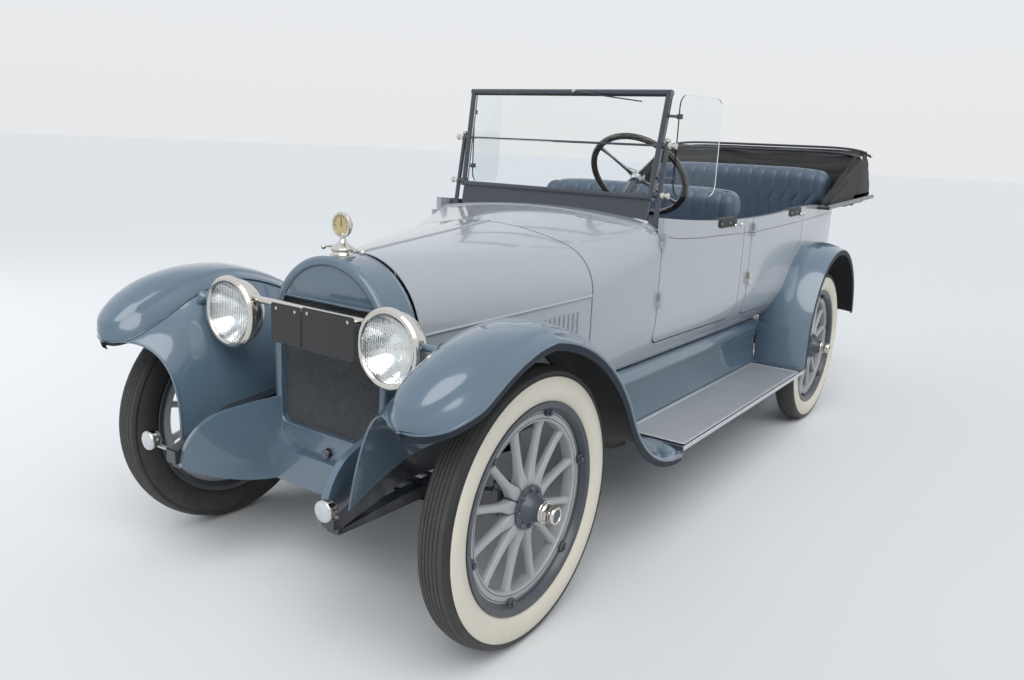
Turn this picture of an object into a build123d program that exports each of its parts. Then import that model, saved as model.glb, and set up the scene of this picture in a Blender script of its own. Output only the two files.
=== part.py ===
from build123d import *
import os
from math import asin, atan2, cos, hypot, pi, radians, sin, tan

os.makedirs("parts", exist_ok=True)

# An open touring car of about 1920 with four doors, its top folded behind the rear seat.
# Millimetres. The car faces -Y, its left side is at +X and it stands on z = 0.

# Overall sizes
front_overhang = 536
wheelbase = 2997
rear_overhang = 1263
track = 1422
side_reach = 825
overall_length = front_overhang + wheelbase + rear_overhang
front_axle_y = front_overhang - overall_length / 2
rear_axle_y = front_axle_y + wheelbase

# Clearances
running_fit = 0.05
seat_gap = 0.3
panel_gap = 6


def at(station):
    """Y of a place given as its distance behind the front axle."""
    return front_axle_y + station


# Tyres and wheels
tyre_radius = 438
tyre_bead_radius = 322
tyre_half_width = 59
bead_half_width = 40
tread_half_width = 44
tread_edge_drop = 10
rim_inner_radius = 300
rim_flange = 6
felloe_inner_radius = 264
felloe_half_width = 23
spoke_count = 12
spoke_hub_radius = 19
spoke_rim_radius = 14
hub_flange_radius = 68
hub_flange_proud = 8
hub_radius = 36
hub_reach = 105
hub_inner_reach = 22
hub_cap_radius = 31
hub_cap_reach = 127
lug_count = 6
lug_size = (30, 22, 20)
spindle_radius = 17
spindle_reach = 60
wheel_z = tyre_radius
drum_radius = 165
drum_width = 55
drum_wall = 8

wheel_table = [  # corner, side, axle y, drum radius
    ("front_left", 1, front_axle_y, 0),
    ("front_right", -1, front_axle_y, 0),
    ("rear_left", 1, rear_axle_y, drum_radius),
    ("rear_right", -1, rear_axle_y, drum_radius),
]

for corner, side, axle_y, drum in wheel_table:
    centre = (side * track / 2, axle_y, wheel_z)
    # Seen from outboard, and cut along the axle
    face = Plane(origin=centre, x_dir=(0, 1, 0), z_dir=(side, 0, 0))
    cut = Plane(origin=centre, x_dir=(side, 0, 0), z_dir=(0, -side, 0))
    turn = Axis(centre, (side, 0, 0))

    with BuildPart() as tyre:
        with BuildSketch(cut):
            with BuildLine():
                base = tyre_bead_radius
                shoulder = tyre_radius - tread_edge_drop
                bulge = (base + tyre_radius) / 2
                Line((-bead_half_width, base), (bead_half_width, base))
                ThreePointArc((bead_half_width, base), (tyre_half_width, bulge), (tread_half_width, shoulder))
                ThreePointArc((tread_half_width, shoulder), (0, tyre_radius), (-tread_half_width, shoulder))
                ThreePointArc(
                    (-tread_half_width, shoulder), (-tyre_half_width, bulge), (-bead_half_width, base)
                )
            make_face()
        revolve(axis=turn)
    tyre.part.label = f"tyre_{corner}"
    export_step(tyre.part, f"parts/tyre_{corner}.step")

    with BuildPart() as wheel:
        with BuildSketch(face.offset(-felloe_half_width)):
            Circle(rim_inner_radius)
            Circle(felloe_inner_radius, mode=Mode.SUBTRACT)
        extrude(amount=2 * felloe_half_width)
        with BuildSketch(cut):
            with BuildLine():
                rim_top = tyre_bead_radius - seat_gap
                inside = bead_half_width + 2
                Polyline(
                    (-inside - rim_flange, rim_inner_radius),
                    (inside + rim_flange, rim_inner_radius),
                    (inside + rim_flange, rim_top),
                    (-inside - rim_flange, rim_top),
                    close=True,
                )
            make_face()
        revolve(axis=turn)
        spoke_start = hub_radius - 4
        spoke_length = felloe_inner_radius + 4 - spoke_start
        with Locations(face):
            with PolarLocations(spoke_start + spoke_length / 2, spoke_count):
                Cone(spoke_hub_radius, spoke_rim_radius, spoke_length, rotation=(0, 90, 0))
        with BuildSketch(face.offset(-hub_inner_reach)):
            Circle(hub_flange_radius)
        extrude(amount=hub_inner_reach + spoke_hub_radius + hub_flange_proud)
        with BuildSketch(face):
            Circle(hub_radius)
        extrude(amount=hub_reach)
        with BuildSketch(face.offset(hub_reach)):
            RegularPolygon(hub_cap_radius, 6)
        extrude(amount=hub_cap_reach - hub_reach)
        with Locations(face.offset(felloe_half_width + lug_size[2] / 2)):
            with PolarLocations(rim_inner_radius - 6, lug_count):
                Box(*lug_size)
        if drum:
            with BuildSketch(face.offset(-hub_inner_reach - drum_width)):
                Circle(drum)
            extrude(amount=drum_width)
            with BuildSketch(face.offset(-hub_inner_reach - drum_width)):
                Circle(drum - drum_wall)
                Circle(hub_flange_radius, mode=Mode.SUBTRACT)
            extrude(amount=drum_width - drum_wall, mode=Mode.SUBTRACT)
        with BuildSketch(face.offset(-hub_inner_reach - drum_width)):
            Circle(spindle_radius + running_fit)
        extrude(amount=hub_inner_reach + drum_width + spindle_reach, mode=Mode.SUBTRACT)
    wheel.part.label = f"wheel_{corner}"
    export_step(wheel.part, f"parts/wheel_{corner}.step")

# Front axle and steering knuckles
kingpin_x = track / 2 - 82
kingpin_radius = 12
axle_eye_radius = 27
axle_eye_height = 70
axle_beam_height = 62
axle_beam_width = 46
axle_drop_z = 368
axle_drop_half = 420
axle_web_recess = 14
beam_end = (kingpin_x - 20, wheel_z - 7)
knuckle_ear = 20
steer_arm_length = 150
steer_arm_z = wheel_z - axle_eye_height / 2 - knuckle_ear - 3
tie_rod_radius = 11

with BuildPart() as front_axle:
    with BuildSketch(Plane.XZ.offset(-front_axle_y - axle_beam_width / 2)):
        with BuildLine():
            beam = Polyline(
                (-beam_end[0], beam_end[1]), (-axle_drop_half, axle_drop_z),
                (axle_drop_half, axle_drop_z), beam_end
            )
            offset(beam, amount=axle_beam_height / 2, side=Side.BOTH)
        make_face()
    extrude(amount=axle_beam_width)
    for face_y in (-1, 1):
        with BuildSketch(Plane.XZ.offset(-front_axle_y - face_y * axle_beam_width / 2)):
            with Locations((0, axle_drop_z)):
                Rectangle(2 * axle_drop_half - 40, axle_beam_height - 28)
        extrude(amount=face_y * axle_web_recess, mode=Mode.SUBTRACT)
    for side in (-1, 1):
        with BuildSketch(Plane.XY.offset(wheel_z - axle_eye_height / 2)):
            with Locations((side * kingpin_x, front_axle_y)):
                Circle(axle_eye_radius)
        extrude(amount=axle_eye_height)
        for cut_z in (-1, 1):
            with BuildSketch(Plane.XY.offset(wheel_z + cut_z * axle_eye_height / 2)):
                with Locations((side * kingpin_x, front_axle_y)):
                    Rectangle(4 * axle_eye_radius, 4 * axle_eye_radius)
            extrude(amount=cut_z * 60, mode=Mode.SUBTRACT)
        with BuildSketch(Plane.XY.offset(wheel_z - 200)):
            with Locations((side * kingpin_x, front_axle_y)):
                Circle(kingpin_radius + running_fit)
        extrude(amount=400, mode=Mode.SUBTRACT)
front_axle.part.label = "front_axle"
export_step(front_axle.part, "parts/front_axle.step")

for corner, side in (("left", 1), ("right", -1)):
    pin = (side * kingpin_x, front_axle_y)
    ear_z = axle_eye_height / 2 + seat_gap
    web_x = side * (kingpin_x + axle_eye_radius + 17)
    with BuildPart() as knuckle:
        with BuildSketch(Plane.XY.offset(wheel_z - ear_z - knuckle_ear)):
            with Locations(pin):
                Circle(kingpin_radius)
        extrude(amount=2 * (ear_z + knuckle_ear))
        for ear in (wheel_z - ear_z - knuckle_ear, wheel_z + ear_z):
            with BuildSketch(Plane.XY.offset(ear)):
                with Locations(pin):
                    Circle(axle_eye_radius - 3)
                with Locations((side * (kingpin_x + 20), front_axle_y)):
                    Rectangle(56, 44)
            extrude(amount=knuckle_ear)
        with BuildSketch(Plane.XY.offset(wheel_z - ear_z - knuckle_ear)):
            with Locations((web_x, front_axle_y)):
                Rectangle(22, 50)
        extrude(amount=2 * (ear_z + knuckle_ear))
        with BuildSketch(Plane(origin=(web_x, front_axle_y, wheel_z), z_dir=(side, 0, 0))):
            Circle(spindle_radius)
        extrude(amount=track / 2 + spindle_reach - 4 - abs(web_x))
        with BuildSketch(Plane.XY.offset(steer_arm_z - 8)):
            with BuildLine():
                Polyline(
                    (side * (kingpin_x + 12), front_axle_y),
                    (side * (kingpin_x - 12), front_axle_y),
                    (side * (kingpin_x - 30), front_axle_y + steer_arm_length),
                    (side * (kingpin_x - 6), front_axle_y + steer_arm_length),
                    close=True,
                )
            make_face()
            with Locations((side * (kingpin_x - 18), front_axle_y + steer_arm_length)):
                Circle(18)
        extrude(amount=16)
    knuckle.part.label = f"knuckle_{corner}"
    export_step(knuckle.part, f"parts/knuckle_{corner}.step")

tie_rod_z = steer_arm_z - 8 - 6 - tie_rod_radius
with BuildPart() as tie_rod:
    with Locations((0, front_axle_y + steer_arm_length, tie_rod_z)):
        Cylinder(tie_rod_radius, 2 * kingpin_x, rotation=(0, 90, 0))
    with BuildSketch(Plane.XY.offset(tie_rod_z)):
        with Locations(*[(side * (kingpin_x - 18), front_axle_y + steer_arm_length) for side in (-1, 1)]):
            Circle(14)
    extrude(amount=steer_arm_z - 8 - seat_gap - tie_rod_z)
tie_rod.part.label = "tie_rod"
export_step(tie_rod.part, "parts/tie_rod.step")

# Chassis frame: two channel rails with front horns and a rise over the rear axle
rail_x = 372
rail_width = 48
rail_wall = 8
rail_height = 110
rail_top = 588
horn_station = -474
horn_z = 448
horn_half = 22
frame_low = rail_top - rail_height
rear_rise = 74
frame_end = 3480
cross_member_width = 60
shell_rear = 14
cross_member_table = [  # station, lift over the rear axle
    (shell_rear + seat_gap + cross_member_width / 2, 0),
    (1480, 0),
    (2280, 0),
    (3180, rear_rise),
]

with BuildPart() as chassis_frame:
    for side in (-1, 1):
        with BuildSketch(Plane(origin=(side * rail_x, 0, 0), x_dir=(0, 1, 0), z_dir=(1, 0, 0))):
            with BuildLine():
                low = frame_low
                Polyline(
                    (at(horn_station), horn_z - horn_half), (at(horn_station + 40), horn_z - horn_half),
                    (at(-180), low + 10),
                    (at(120), low), (at(2450), low), (at(2700), low + rear_rise), (at(3250), low + rear_rise),
                    (at(frame_end), low + 50), (at(frame_end), low + 110), (at(3250), rail_top + rear_rise),
                    (at(2650), rail_top + rear_rise), (at(2400), rail_top), (at(0), rail_top),
                    (at(-240), rail_top - 22), (at(horn_station + 10), horn_z + horn_half),
                    (at(horn_station), horn_z + horn_half),
                    close=True,
                )
            make_face()
        extrude(amount=rail_width / 2, both=True)
        inner_face = Plane(origin=(side * (rail_x - rail_width / 2), 0, 0), x_dir=(0, 1, 0), z_dir=(side, 0, 0))
        with BuildSketch(inner_face):
            with Locations((at(1250), rail_top - rail_height / 2)):
                Rectangle(2200, rail_height - 2 * rail_wall)
        extrude(amount=rail_width - rail_wall, mode=Mode.SUBTRACT)
    for station, lift in cross_member_table:
        reach = rail_x + rail_width / 2 - rail_wall / 2
        with BuildSketch(Plane.YZ.offset(-reach)):
            with Locations((at(station), rail_top + lift - rail_height / 2)):
                Rectangle(cross_member_width, rail_height - 2 * rail_wall)
        extrude(amount=2 * reach)
chassis_frame.part.label = "chassis_frame"
export_step(chassis_frame.part, "parts/chassis_frame.step")

# Leaf springs over the front axle and under the rear one, with a link at each eye
spring_width = 46
spring_depth = 42
spring_tip = 12
link_width = 22
axle_top_z = axle_drop_z + axle_beam_height / 2
rear_tube_radius = 42
rear_spring_z = wheel_z - rear_tube_radius - spring_depth
spring_table = [  # centre station, half length, seat z, eye z, link top at the front and rear eyes
    (0, 455, axle_top_z + seat_gap, 405, horn_z - horn_half - seat_gap, frame_low - seat_gap),
    (wheelbase, 470, rear_spring_z - seat_gap, 440, 492, frame_low + 50 - seat_gap),
]
with BuildPart() as springs:
    for station, half, low, eye_z, *link_tops in spring_table:
        for side in (-1, 1):
            with BuildSketch(Plane(origin=(side * rail_x, 0, 0), x_dir=(0, 1, 0), z_dir=(1, 0, 0))):
                with BuildLine():
                    first, last = at(station - half), at(station + half)
                    ThreePointArc((first, eye_z), (at(station), low), (last, eye_z))
                    Line((last, eye_z), (last, eye_z + spring_tip))
                    ThreePointArc(
                        (last, eye_z + spring_tip), (at(station), low + spring_depth), (first, eye_z + spring_tip)
                    )
                    Line((first, eye_z + spring_tip), (first, eye_z))
                make_face()
                for end_y, top in zip((first + link_width / 2, last - link_width / 2), link_tops):
                    with Locations((end_y, (eye_z + top) / 2)):
                        Rectangle(link_width, top - eye_z)
            extrude(amount=spring_width / 2, both=True)
springs.part.label = "springs"
export_step(springs.part, "parts/springs.step")

# Rear axle with its banjo housing, and the torque tube
banjo_radius = 150
banjo_half_width = 90
tube_end_x = track / 2 - 90
torque_tube_radius = 45
gearbox_rear = 1240
backing_plate = 8
rear_cut = Plane(origin=(0, rear_axle_y, wheel_z), x_dir=(1, 0, 0), z_dir=(0, -1, 0))
with BuildPart() as rear_axle:
    with BuildSketch(rear_cut):
        with BuildLine():
            plate_x = tube_end_x - backing_plate
            tip_x = track / 2 + spindle_reach - 4
            ThreePointArc(
                (-banjo_half_width, rear_tube_radius), (0, banjo_radius), (banjo_half_width, rear_tube_radius)
            )
            Polyline(
                (banjo_half_width, rear_tube_radius), (plate_x, rear_tube_radius), (plate_x, drum_radius - 14),
                (tube_end_x, drum_radius - 14), (tube_end_x, spindle_radius), (tip_x, spindle_radius), (tip_x, 0),
                (-tip_x, 0), (-tip_x, spindle_radius), (-tube_end_x, spindle_radius), (-tube_end_x, drum_radius - 14),
                (-plate_x, drum_radius - 14), (-plate_x, rear_tube_radius), (-banjo_half_width, rear_tube_radius),
            )
        make_face()
    revolve(axis=Axis((0, rear_axle_y, wheel_z), (1, 0, 0)))
    with BuildSketch(Plane.XZ.offset(-rear_axle_y)):
        with Locations((0, wheel_z)):
            Circle(torque_tube_radius)
    extrude(amount=wheelbase - gearbox_rear - seat_gap)
rear_axle.part.label = "rear_axle"
export_step(rear_axle.part, "parts/rear_axle.step")

# Engine and gearbox as plain blocks between the rails, on two arms
engine_front = 92
engine_rear = 720
engine_low = 440
engine_top = 960
engine_half_width = 150
gearbox_half_width = 110
gearbox_top = 600
engine_arm_table = (200, 620)
with BuildPart() as engine_block:
    with BuildSketch(Plane.XY.offset(engine_low)):
        with Locations((0, at((engine_front + engine_rear) / 2))):
            RectangleRounded(2 * engine_half_width, engine_rear - engine_front, 30)
    extrude(amount=engine_top - engine_low)
    with BuildSketch(Plane.XZ.offset(-at(engine_rear - 10))):
        with Locations((0, (engine_low + gearbox_top) / 2)):
            RectangleRounded(2 * gearbox_half_width, gearbox_top - engine_low, 40)
    extrude(amount=-(gearbox_rear - engine_rear + 10))
    for station in engine_arm_table:
        with Locations((0, at(station), rail_top - 30)):
            Box(2 * (rail_x - rail_width / 2 - seat_gap), 50, 34)
engine_block.part.label = "engine_block"
export_step(engine_block.part, "parts/engine_block.step")

# Radiator shell: a round arch over straight sides
shell_front = -125
arch_z = 858
arch_radius = 268
shell_foot_half = 252
shell_foot_z = 412
shell_corner = 72
shell_wall = 5
shell_face = 24
shell_front_rounding = 20
window_half = 236
window_low = 518
window_high = 976
window_corner = 40
crank_z = 458
crank_hole_radius = 17


def shell_outline(plane, inset):
    """Front view of the radiator shell, moved inwards by inset."""
    radius = arch_radius - inset
    foot = shell_foot_half - inset
    low = shell_foot_z + inset
    corner = shell_corner - inset
    reach = corner * (1 - cos(radians(45)))
    with BuildSketch(plane) as outline:
        with BuildLine():
            ThreePointArc((radius, arch_z), (0, arch_z + radius), (-radius, arch_z))
            Line((-radius, arch_z), (-foot, low + corner))
            ThreePointArc((-foot, low + corner), (-foot + reach, low + reach), (-foot + corner, low))
            Line((-foot + corner, low), (foot - corner, low))
            ThreePointArc((foot - corner, low), (foot - reach, low + reach), (foot, low + corner))
            Line((foot, low + corner), (radius, arch_z))
        make_face()
    return outline.sketch


with BuildPart() as radiator_shell:
    extrude(shell_outline(Plane.XZ.offset(-at(shell_front)), 0), amount=shell_front - shell_rear)
    fillet(radiator_shell.faces().sort_by(Axis.Y)[0].edges(), shell_front_rounding)
    inner = shell_outline(Plane.XZ.offset(-at(shell_front + shell_face)), shell_wall)
    extrude(inner, amount=shell_front - shell_rear, mode=Mode.SUBTRACT)
    with BuildSketch(Plane.XZ.offset(-at(shell_front))):
        with Locations((0, (window_low + window_high) / 2)):
            RectangleRounded(2 * window_half, window_high - window_low, window_corner)
        with Locations((0, crank_z)):
            Circle(crank_hole_radius)
    extrude(amount=-2 * shell_face, mode=Mode.SUBTRACT)
radiator_shell.part.label = "radiator_shell"
export_step(radiator_shell.part, "parts/radiator_shell.step")

core_depth = 85
with BuildPart() as radiator_core:
    core_plane = Plane.XZ.offset(-at(shell_front + shell_face + seat_gap))
    extrude(shell_outline(core_plane, shell_wall + seat_gap), amount=-core_depth)
radiator_core.part.label = "radiator_core"
export_step(radiator_core.part, "parts/radiator_core.step")

# Radiator cap with its heat gauge
cap_station = -62
cap_base_z = arch_z + arch_radius - 4
cap_top_z = 1158
gauge_z = 1226
gauge_radius = 42
gauge_depth = 24
with BuildPart() as radiator_cap:
    with BuildSketch(Plane.XY.offset(cap_base_z + seat_gap + 4)):
        with Locations((0, at(cap_station))):
            Circle(27)
    extrude(amount=cap_top_z - cap_base_z - 14)
    with BuildSketch(Plane.XY.offset(cap_top_z - 12)):
        with Locations((0, at(cap_station))):
            Circle(31)
            SlotOverall(116, 16)
    extrude(amount=12)
    with BuildSketch(Plane.XY.offset(cap_top_z)):
        with Locations((0, at(cap_station))):
            Circle(8)
    extrude(amount=gauge_z - gauge_radius - cap_top_z + 6)
    with BuildSketch(Plane.XZ.offset(-at(cap_station) + gauge_depth / 2)):
        with Locations((0, gauge_z)):
            Circle(gauge_radius)
    extrude(amount=-gauge_depth)
radiator_cap.part.label = "radiator_cap"
export_step(radiator_cap.part, "parts/radiator_cap.step")

# Engine cover and cowl: a crown, round corners and straight sides
cover_front = shell_rear + panel_gap
cover_rear = 724
cowl_front = cover_rear + panel_gap
cowl_rear = 1105
sheet = 3
hinge_rod_radius = 6
side_barrel_radius = 5
side_foot_z = 640

# station, half width, top z, corner radius, crown angle, side hinge z
cover_table = [
    (cover_front, 272, 1131, 262, 10, 886),
    (370, 384, 1167, 222, 14, 928),
    (cover_rear, 500, 1203, 180, 17, 969),
]
# station, half width, top z, corner radius, crown angle, turn-under z, sill half width
cowl_table = [
    (cowl_front, 502, 1204, 180, 17, 800, 498),
    (915, 552, 1232, 150, 13, 830, 506),
    (cowl_rear, 590, 1258, 110, 8, 860, 512),
]


def crown(half, top_z, corner, angle):
    """End of the crown, a middle point of the round corner, and the corner's centre."""
    a = radians(angle)
    edge_x = half - corner * (1 - sin(a))
    centre_z = top_z - corner * cos(a) - edge_x * tan(a / 2)
    b = (a + radians(90)) / 2
    edge = (edge_x, centre_z + corner * cos(a))
    middle = (half - corner * (1 - sin(b)), centre_z + corner * cos(b))
    return edge, middle, centre_z


def cover_section(station, half, top_z, corner, angle, hinge_z, inset, side):
    """One half of the engine cover, cut across, from the centre line to the side hinge."""
    low_z = hinge_z - 0.5 - inset
    edge, middle, centre_z = crown(half - inset, top_z - inset, corner - inset, angle)
    drop = (hinge_z - centre_z) / (corner - inset)
    foot = (half - inset - (corner - inset) * (1 - (1 - drop * drop) ** 0.5), hinge_z)
    arc_x = edge[0] / 2
    arc_z = top_z - inset - arc_x * tan(radians(angle) / 4)
    with BuildSketch(Plane.XZ.offset(-at(station))) as section:
        with BuildLine():
            Line((0, low_z), (0, top_z - inset))
            ThreePointArc((0, top_z - inset), (side * arc_x, arc_z), (side * edge[0], edge[1]))
            ThreePointArc((side * edge[0], edge[1]), (side * middle[0], middle[1]), (side * foot[0], foot[1]))
            Line((side * foot[0], foot[1]), (side * foot[0], low_z))
            Line((side * foot[0], low_z), (0, low_z))
        make_face()
    return section.sketch


def cowl_section(station, half, top_z, corner, angle, turn_z, sill_half, inset, low_z):
    """The cowl cut across, both sides, down to low_z."""
    edge, middle, centre_z = crown(half - inset, top_z - inset, corner - inset, angle)
    side_x = half - inset
    sill_x = sill_half - inset
    bend = ((side_x * 2 + sill_x) / 3, turn_z - (turn_z - low_z) * 0.62)
    with BuildSketch(Plane.XZ.offset(-at(station))) as section:
        with BuildLine():
            ThreePointArc((-edge[0], edge[1]), (0, top_z - inset), edge)
            for s in (-1, 1):
                ThreePointArc((s * edge[0], edge[1]), (s * middle[0], middle[1]), (s * side_x, centre_z))
                Line((s * side_x, centre_z), (s * side_x, turn_z))
                ThreePointArc((s * side_x, turn_z), (s * bend[0], bend[1]), (s * sill_x, low_z))
            Line((-sill_x, low_z), (sill_x, low_z))
        make_face()
    return section.sketch


hinge_start = Vector(cover_table[0][1], at(cover_front), cover_table[0][5])
hinge_end = Vector(cover_table[-1][1], at(cover_rear), cover_table[-1][5])
rod_start = Vector(0, at(cover_front), cover_table[0][2])
rod_end = Vector(0, at(cover_rear), cover_table[-1][2])
louvre_count = 24
louvre_pitch = 22
louvre_size = (8, 92)
louvre_slot = (3, 84)
louvre_height = 6
louvre_rear_margin = 62
louvre_top_margin = 92

for name, side in (("left", 1), ("right", -1)):
    start = Vector(side * hinge_start.X, hinge_start.Y, hinge_start.Z)
    end = Vector(side * hinge_end.X, hinge_end.Y, hinge_end.Z)
    along = end - start
    with BuildPart() as hood_top:
        loft([cover_section(*row, 0, side) for row in cover_table])
        loft([cover_section(*row, sheet, side) for row in cover_table], mode=Mode.SUBTRACT)
        with BuildSketch(Plane(origin=rod_start - (rod_end - rod_start) * 0.1, z_dir=rod_end - rod_start)):
            Circle(hinge_rod_radius + seat_gap)
        extrude(amount=1.2 * (rod_end - rod_start).length, mode=Mode.SUBTRACT)
        with BuildSketch(Plane(origin=start, z_dir=along)):
            Circle(side_barrel_radius)
        extrude(amount=along.length)
        for cut_station, way in ((cover_front, 1), (cover_rear, -1)):
            with BuildSketch(Plane.XZ.offset(-at(cut_station))):
                with Locations((side * 300, 950)):
                    Rectangle(900, 900)
            extrude(amount=way * 40, mode=Mode.SUBTRACT)
    hood_top.part.label = f"hood_top_{name}"
    export_step(hood_top.part, f"parts/hood_top_{name}.step")

    flat = Vector(along.X, along.Y, 0)
    panel = Plane(origin=(start.X, start.Y, 0), x_dir=flat, z_dir=(flat.Y, -flat.X, 0))
    with BuildPart() as hood_side:
        with BuildSketch(panel.offset(-side * sheet)):
            with BuildLine():
                drop = side_barrel_radius + seat_gap
                Polyline(
                    (0, side_foot_z), (flat.length, side_foot_z), (flat.length, end.Z - drop), (0, start.Z - drop),
                    close=True,
                )
            make_face()
        extrude(amount=side * sheet)
        for index in range(louvre_count):
            louvre_x = flat.length - louvre_rear_margin - index * louvre_pitch
            louvre_z = start.Z + (end.Z - start.Z) * louvre_x / flat.length - louvre_top_margin
            with BuildSketch(panel):
                with Locations((louvre_x, louvre_z)):
                    SlotOverall(louvre_size[1], louvre_size[0], rotation=90)
            extrude(amount=side * louvre_height)
            with BuildSketch(panel.offset(-side * sheet)):
                with Locations((louvre_x + louvre_size[0] / 2, louvre_z)):
                    Rectangle(*louvre_slot)
            extrude(amount=side * (sheet + louvre_height - 1), mode=Mode.SUBTRACT)
    hood_side.part.label = f"hood_side_{name}"
    export_step(hood_side.part, f"parts/hood_side_{name}.step")

# Door hinges: a knuckle with a pin on the body, and a bored knuckle on the door
knuckle_radius = 9
knuckle_height = 30
pin_radius = 5
knuckle_clear = 5
knuckle_arm = 16
hinge_heights = (890, 1130)


def fixed_knuckles(side, axis_x, station):
    """The body's half of both hinges of a door, with an arm to the front."""
    with Locations(*[(side * axis_x, at(station), z + knuckle_height / 2) for z in hinge_heights]):
        Cylinder(knuckle_radius, knuckle_height)
    with Locations(*[(side * axis_x, at(station), z + knuckle_height) for z in hinge_heights]):
        Cylinder(pin_radius, 2 * knuckle_height)
    arm_x = axis_x - knuckle_radius - knuckle_clear / 2 + 2
    arm_y = at(station - knuckle_arm / 2)
    with Locations(*[(side * arm_x, arm_y, z + knuckle_height / 2) for z in hinge_heights]):
        Box(2 * (axis_x - arm_x), knuckle_arm, knuckle_height)


def door_knuckles(side, axis_x, station):
    """The door's half of both hinges, with an arm to the rear."""
    low = knuckle_height + seat_gap
    middle = low + (knuckle_height - seat_gap) / 2
    arm_x = axis_x - knuckle_radius - knuckle_clear / 2 + 2
    with Locations(*[(side * axis_x, at(station), z + middle) for z in hinge_heights]):
        Cylinder(knuckle_radius, knuckle_height - seat_gap)
    with Locations(*[(side * arm_x, at(station + knuckle_arm / 2), z + middle) for z in hinge_heights]):
        Box(2 * (axis_x - arm_x), knuckle_arm, knuckle_height - seat_gap)
    with Locations(*[(side * axis_x, at(station), z + middle) for z in hinge_heights]):
        Cylinder(pin_radius + running_fit, 2 * knuckle_height, mode=Mode.SUBTRACT)


# Cowl with its firewall, toe board and the deck under the windshield
cowl_wall = 4
firewall_thickness = 6
pillar_depth = 30
body_wall = 26
floor_z = 640
floor_thickness = 18
sill_beam = (60, 44)
deck_rear = 1190
deck_half = 552
deck_thickness = 16
wheel_centre = Vector(310, at(1410), 1400)
column_angle = 40
column_radius = 20
column_hole = 26
column_dir = Vector(0, -cos(radians(column_angle)), -sin(radians(column_angle)))



def deck_section(plane, lift, depth):
    """The deck under the windshield cut across, raised by lift and depth thick."""
    edge, _, centre_z = crown(*cowl_table[-1][1:5])
    corner = cowl_table[-1][3]
    side_z = centre_z + (corner ** 2 - (deck_half - cowl_table[-1][1] + corner) ** 2) ** 0.5
    with BuildSketch(plane) as section:
        with BuildLine():
            for drop in (-lift, depth):
                ThreePointArc(
                    (-edge[0], edge[1] - drop), (0, cowl_table[-1][2] - drop), (edge[0], edge[1] - drop)
                )
                for s in (-1, 1):
                    Line((s * edge[0], edge[1] - drop), (s * deck_half, side_z - drop))
            for s in (-1, 1):
                Line((s * deck_half, side_z + lift), (s * deck_half, side_z - depth))
        make_face()
    return section.sketch


with BuildPart() as cowl:
    loft([cowl_section(*row, 0, floor_z) for row in cowl_table])
    loft([cowl_section(*row, cowl_wall, floor_z - 1) for row in cowl_table], mode=Mode.SUBTRACT)
    extrude(cowl_section(*cowl_table[0], cowl_wall / 2, floor_z), amount=-firewall_thickness)
    deck_plane = Plane.XZ.offset(-at(cowl_rear - pillar_depth))
    extrude(deck_section(deck_plane, 0, deck_thickness), amount=cowl_rear - pillar_depth - deck_rear)
    with BuildSketch(Plane.XY.offset(floor_z)):
        with Locations((0, at((cowl_front + cowl_rear) / 2))):
            Rectangle(2 * (cowl_table[0][6] - 4), cowl_rear - cowl_front)
    extrude(amount=floor_thickness)
    with BuildSketch(Plane.XY.offset(rail_top + seat_gap)):
        for s in (-1, 1):
            with Locations((s * rail_x, at((cowl_front + cowl_rear) / 2))):
                Rectangle(sill_beam[0], cowl_rear - cowl_front)
    extrude(amount=floor_z - rail_top)
    for s in (-1, 1):
        with BuildSketch(Plane.XY.offset(floor_z)):
            with Locations((s * (cowl_table[-1][6] - 30), at(cowl_rear - pillar_depth / 2))):
                Rectangle(50, pillar_depth)
        extrude(amount=80)
    with BuildSketch(Plane(origin=wheel_centre + column_dir * 200, z_dir=column_dir)):
        Circle(column_hole)
    extrude(amount=900, mode=Mode.SUBTRACT)
    with BuildSketch(Plane(origin=rod_start, z_dir=rod_end - rod_start)):
        Circle(hinge_rod_radius)
    extrude(amount=(rod_end - rod_start).length * (1 + panel_gap / (cover_rear - cover_front) * 2))
    for side in (-1, 1):
        fixed_knuckles(side, cowl_table[-1][1] + knuckle_radius + knuckle_clear, cowl_rear + panel_gap / 2)
cowl.part.label = "cowl"
export_step(cowl.part, "parts/cowl.step")

# Body tub with four door openings; the doors are cut from the same walls
body_front = cowl_rear + seat_gap
body_rear = 3576
body_rear_corner = 130
body_high = 1300
raised_floor_lift = 44
raised_floor_start = 2450
turn_z = 860
# station, half width, sill half width
body_table = [(body_front, 590, 512), (2080, 626, 520), (2760, 640, 520), (3620, 596, 500)]


def body_section(station, half, sill_half, inset, low_z):
    """The body cut across, both sides, up to body_high."""
    side_x = half - inset
    sill_x = sill_half - inset
    bend = ((side_x * 2 + sill_x) / 3, turn_z - (turn_z - low_z) * 0.62)
    with BuildSketch(Plane.XZ.offset(-at(station))) as section:
        with BuildLine():
            Line((-side_x, body_high), (side_x, body_high))
            for s in (-1, 1):
                Line((s * side_x, body_high), (s * side_x, turn_z))
                ThreePointArc((s * side_x, turn_z), (s * bend[0], bend[1]), (s * sill_x, low_z))
            Line((-sill_x, low_z), (sill_x, low_z))
        make_face()
    return section.sketch


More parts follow.
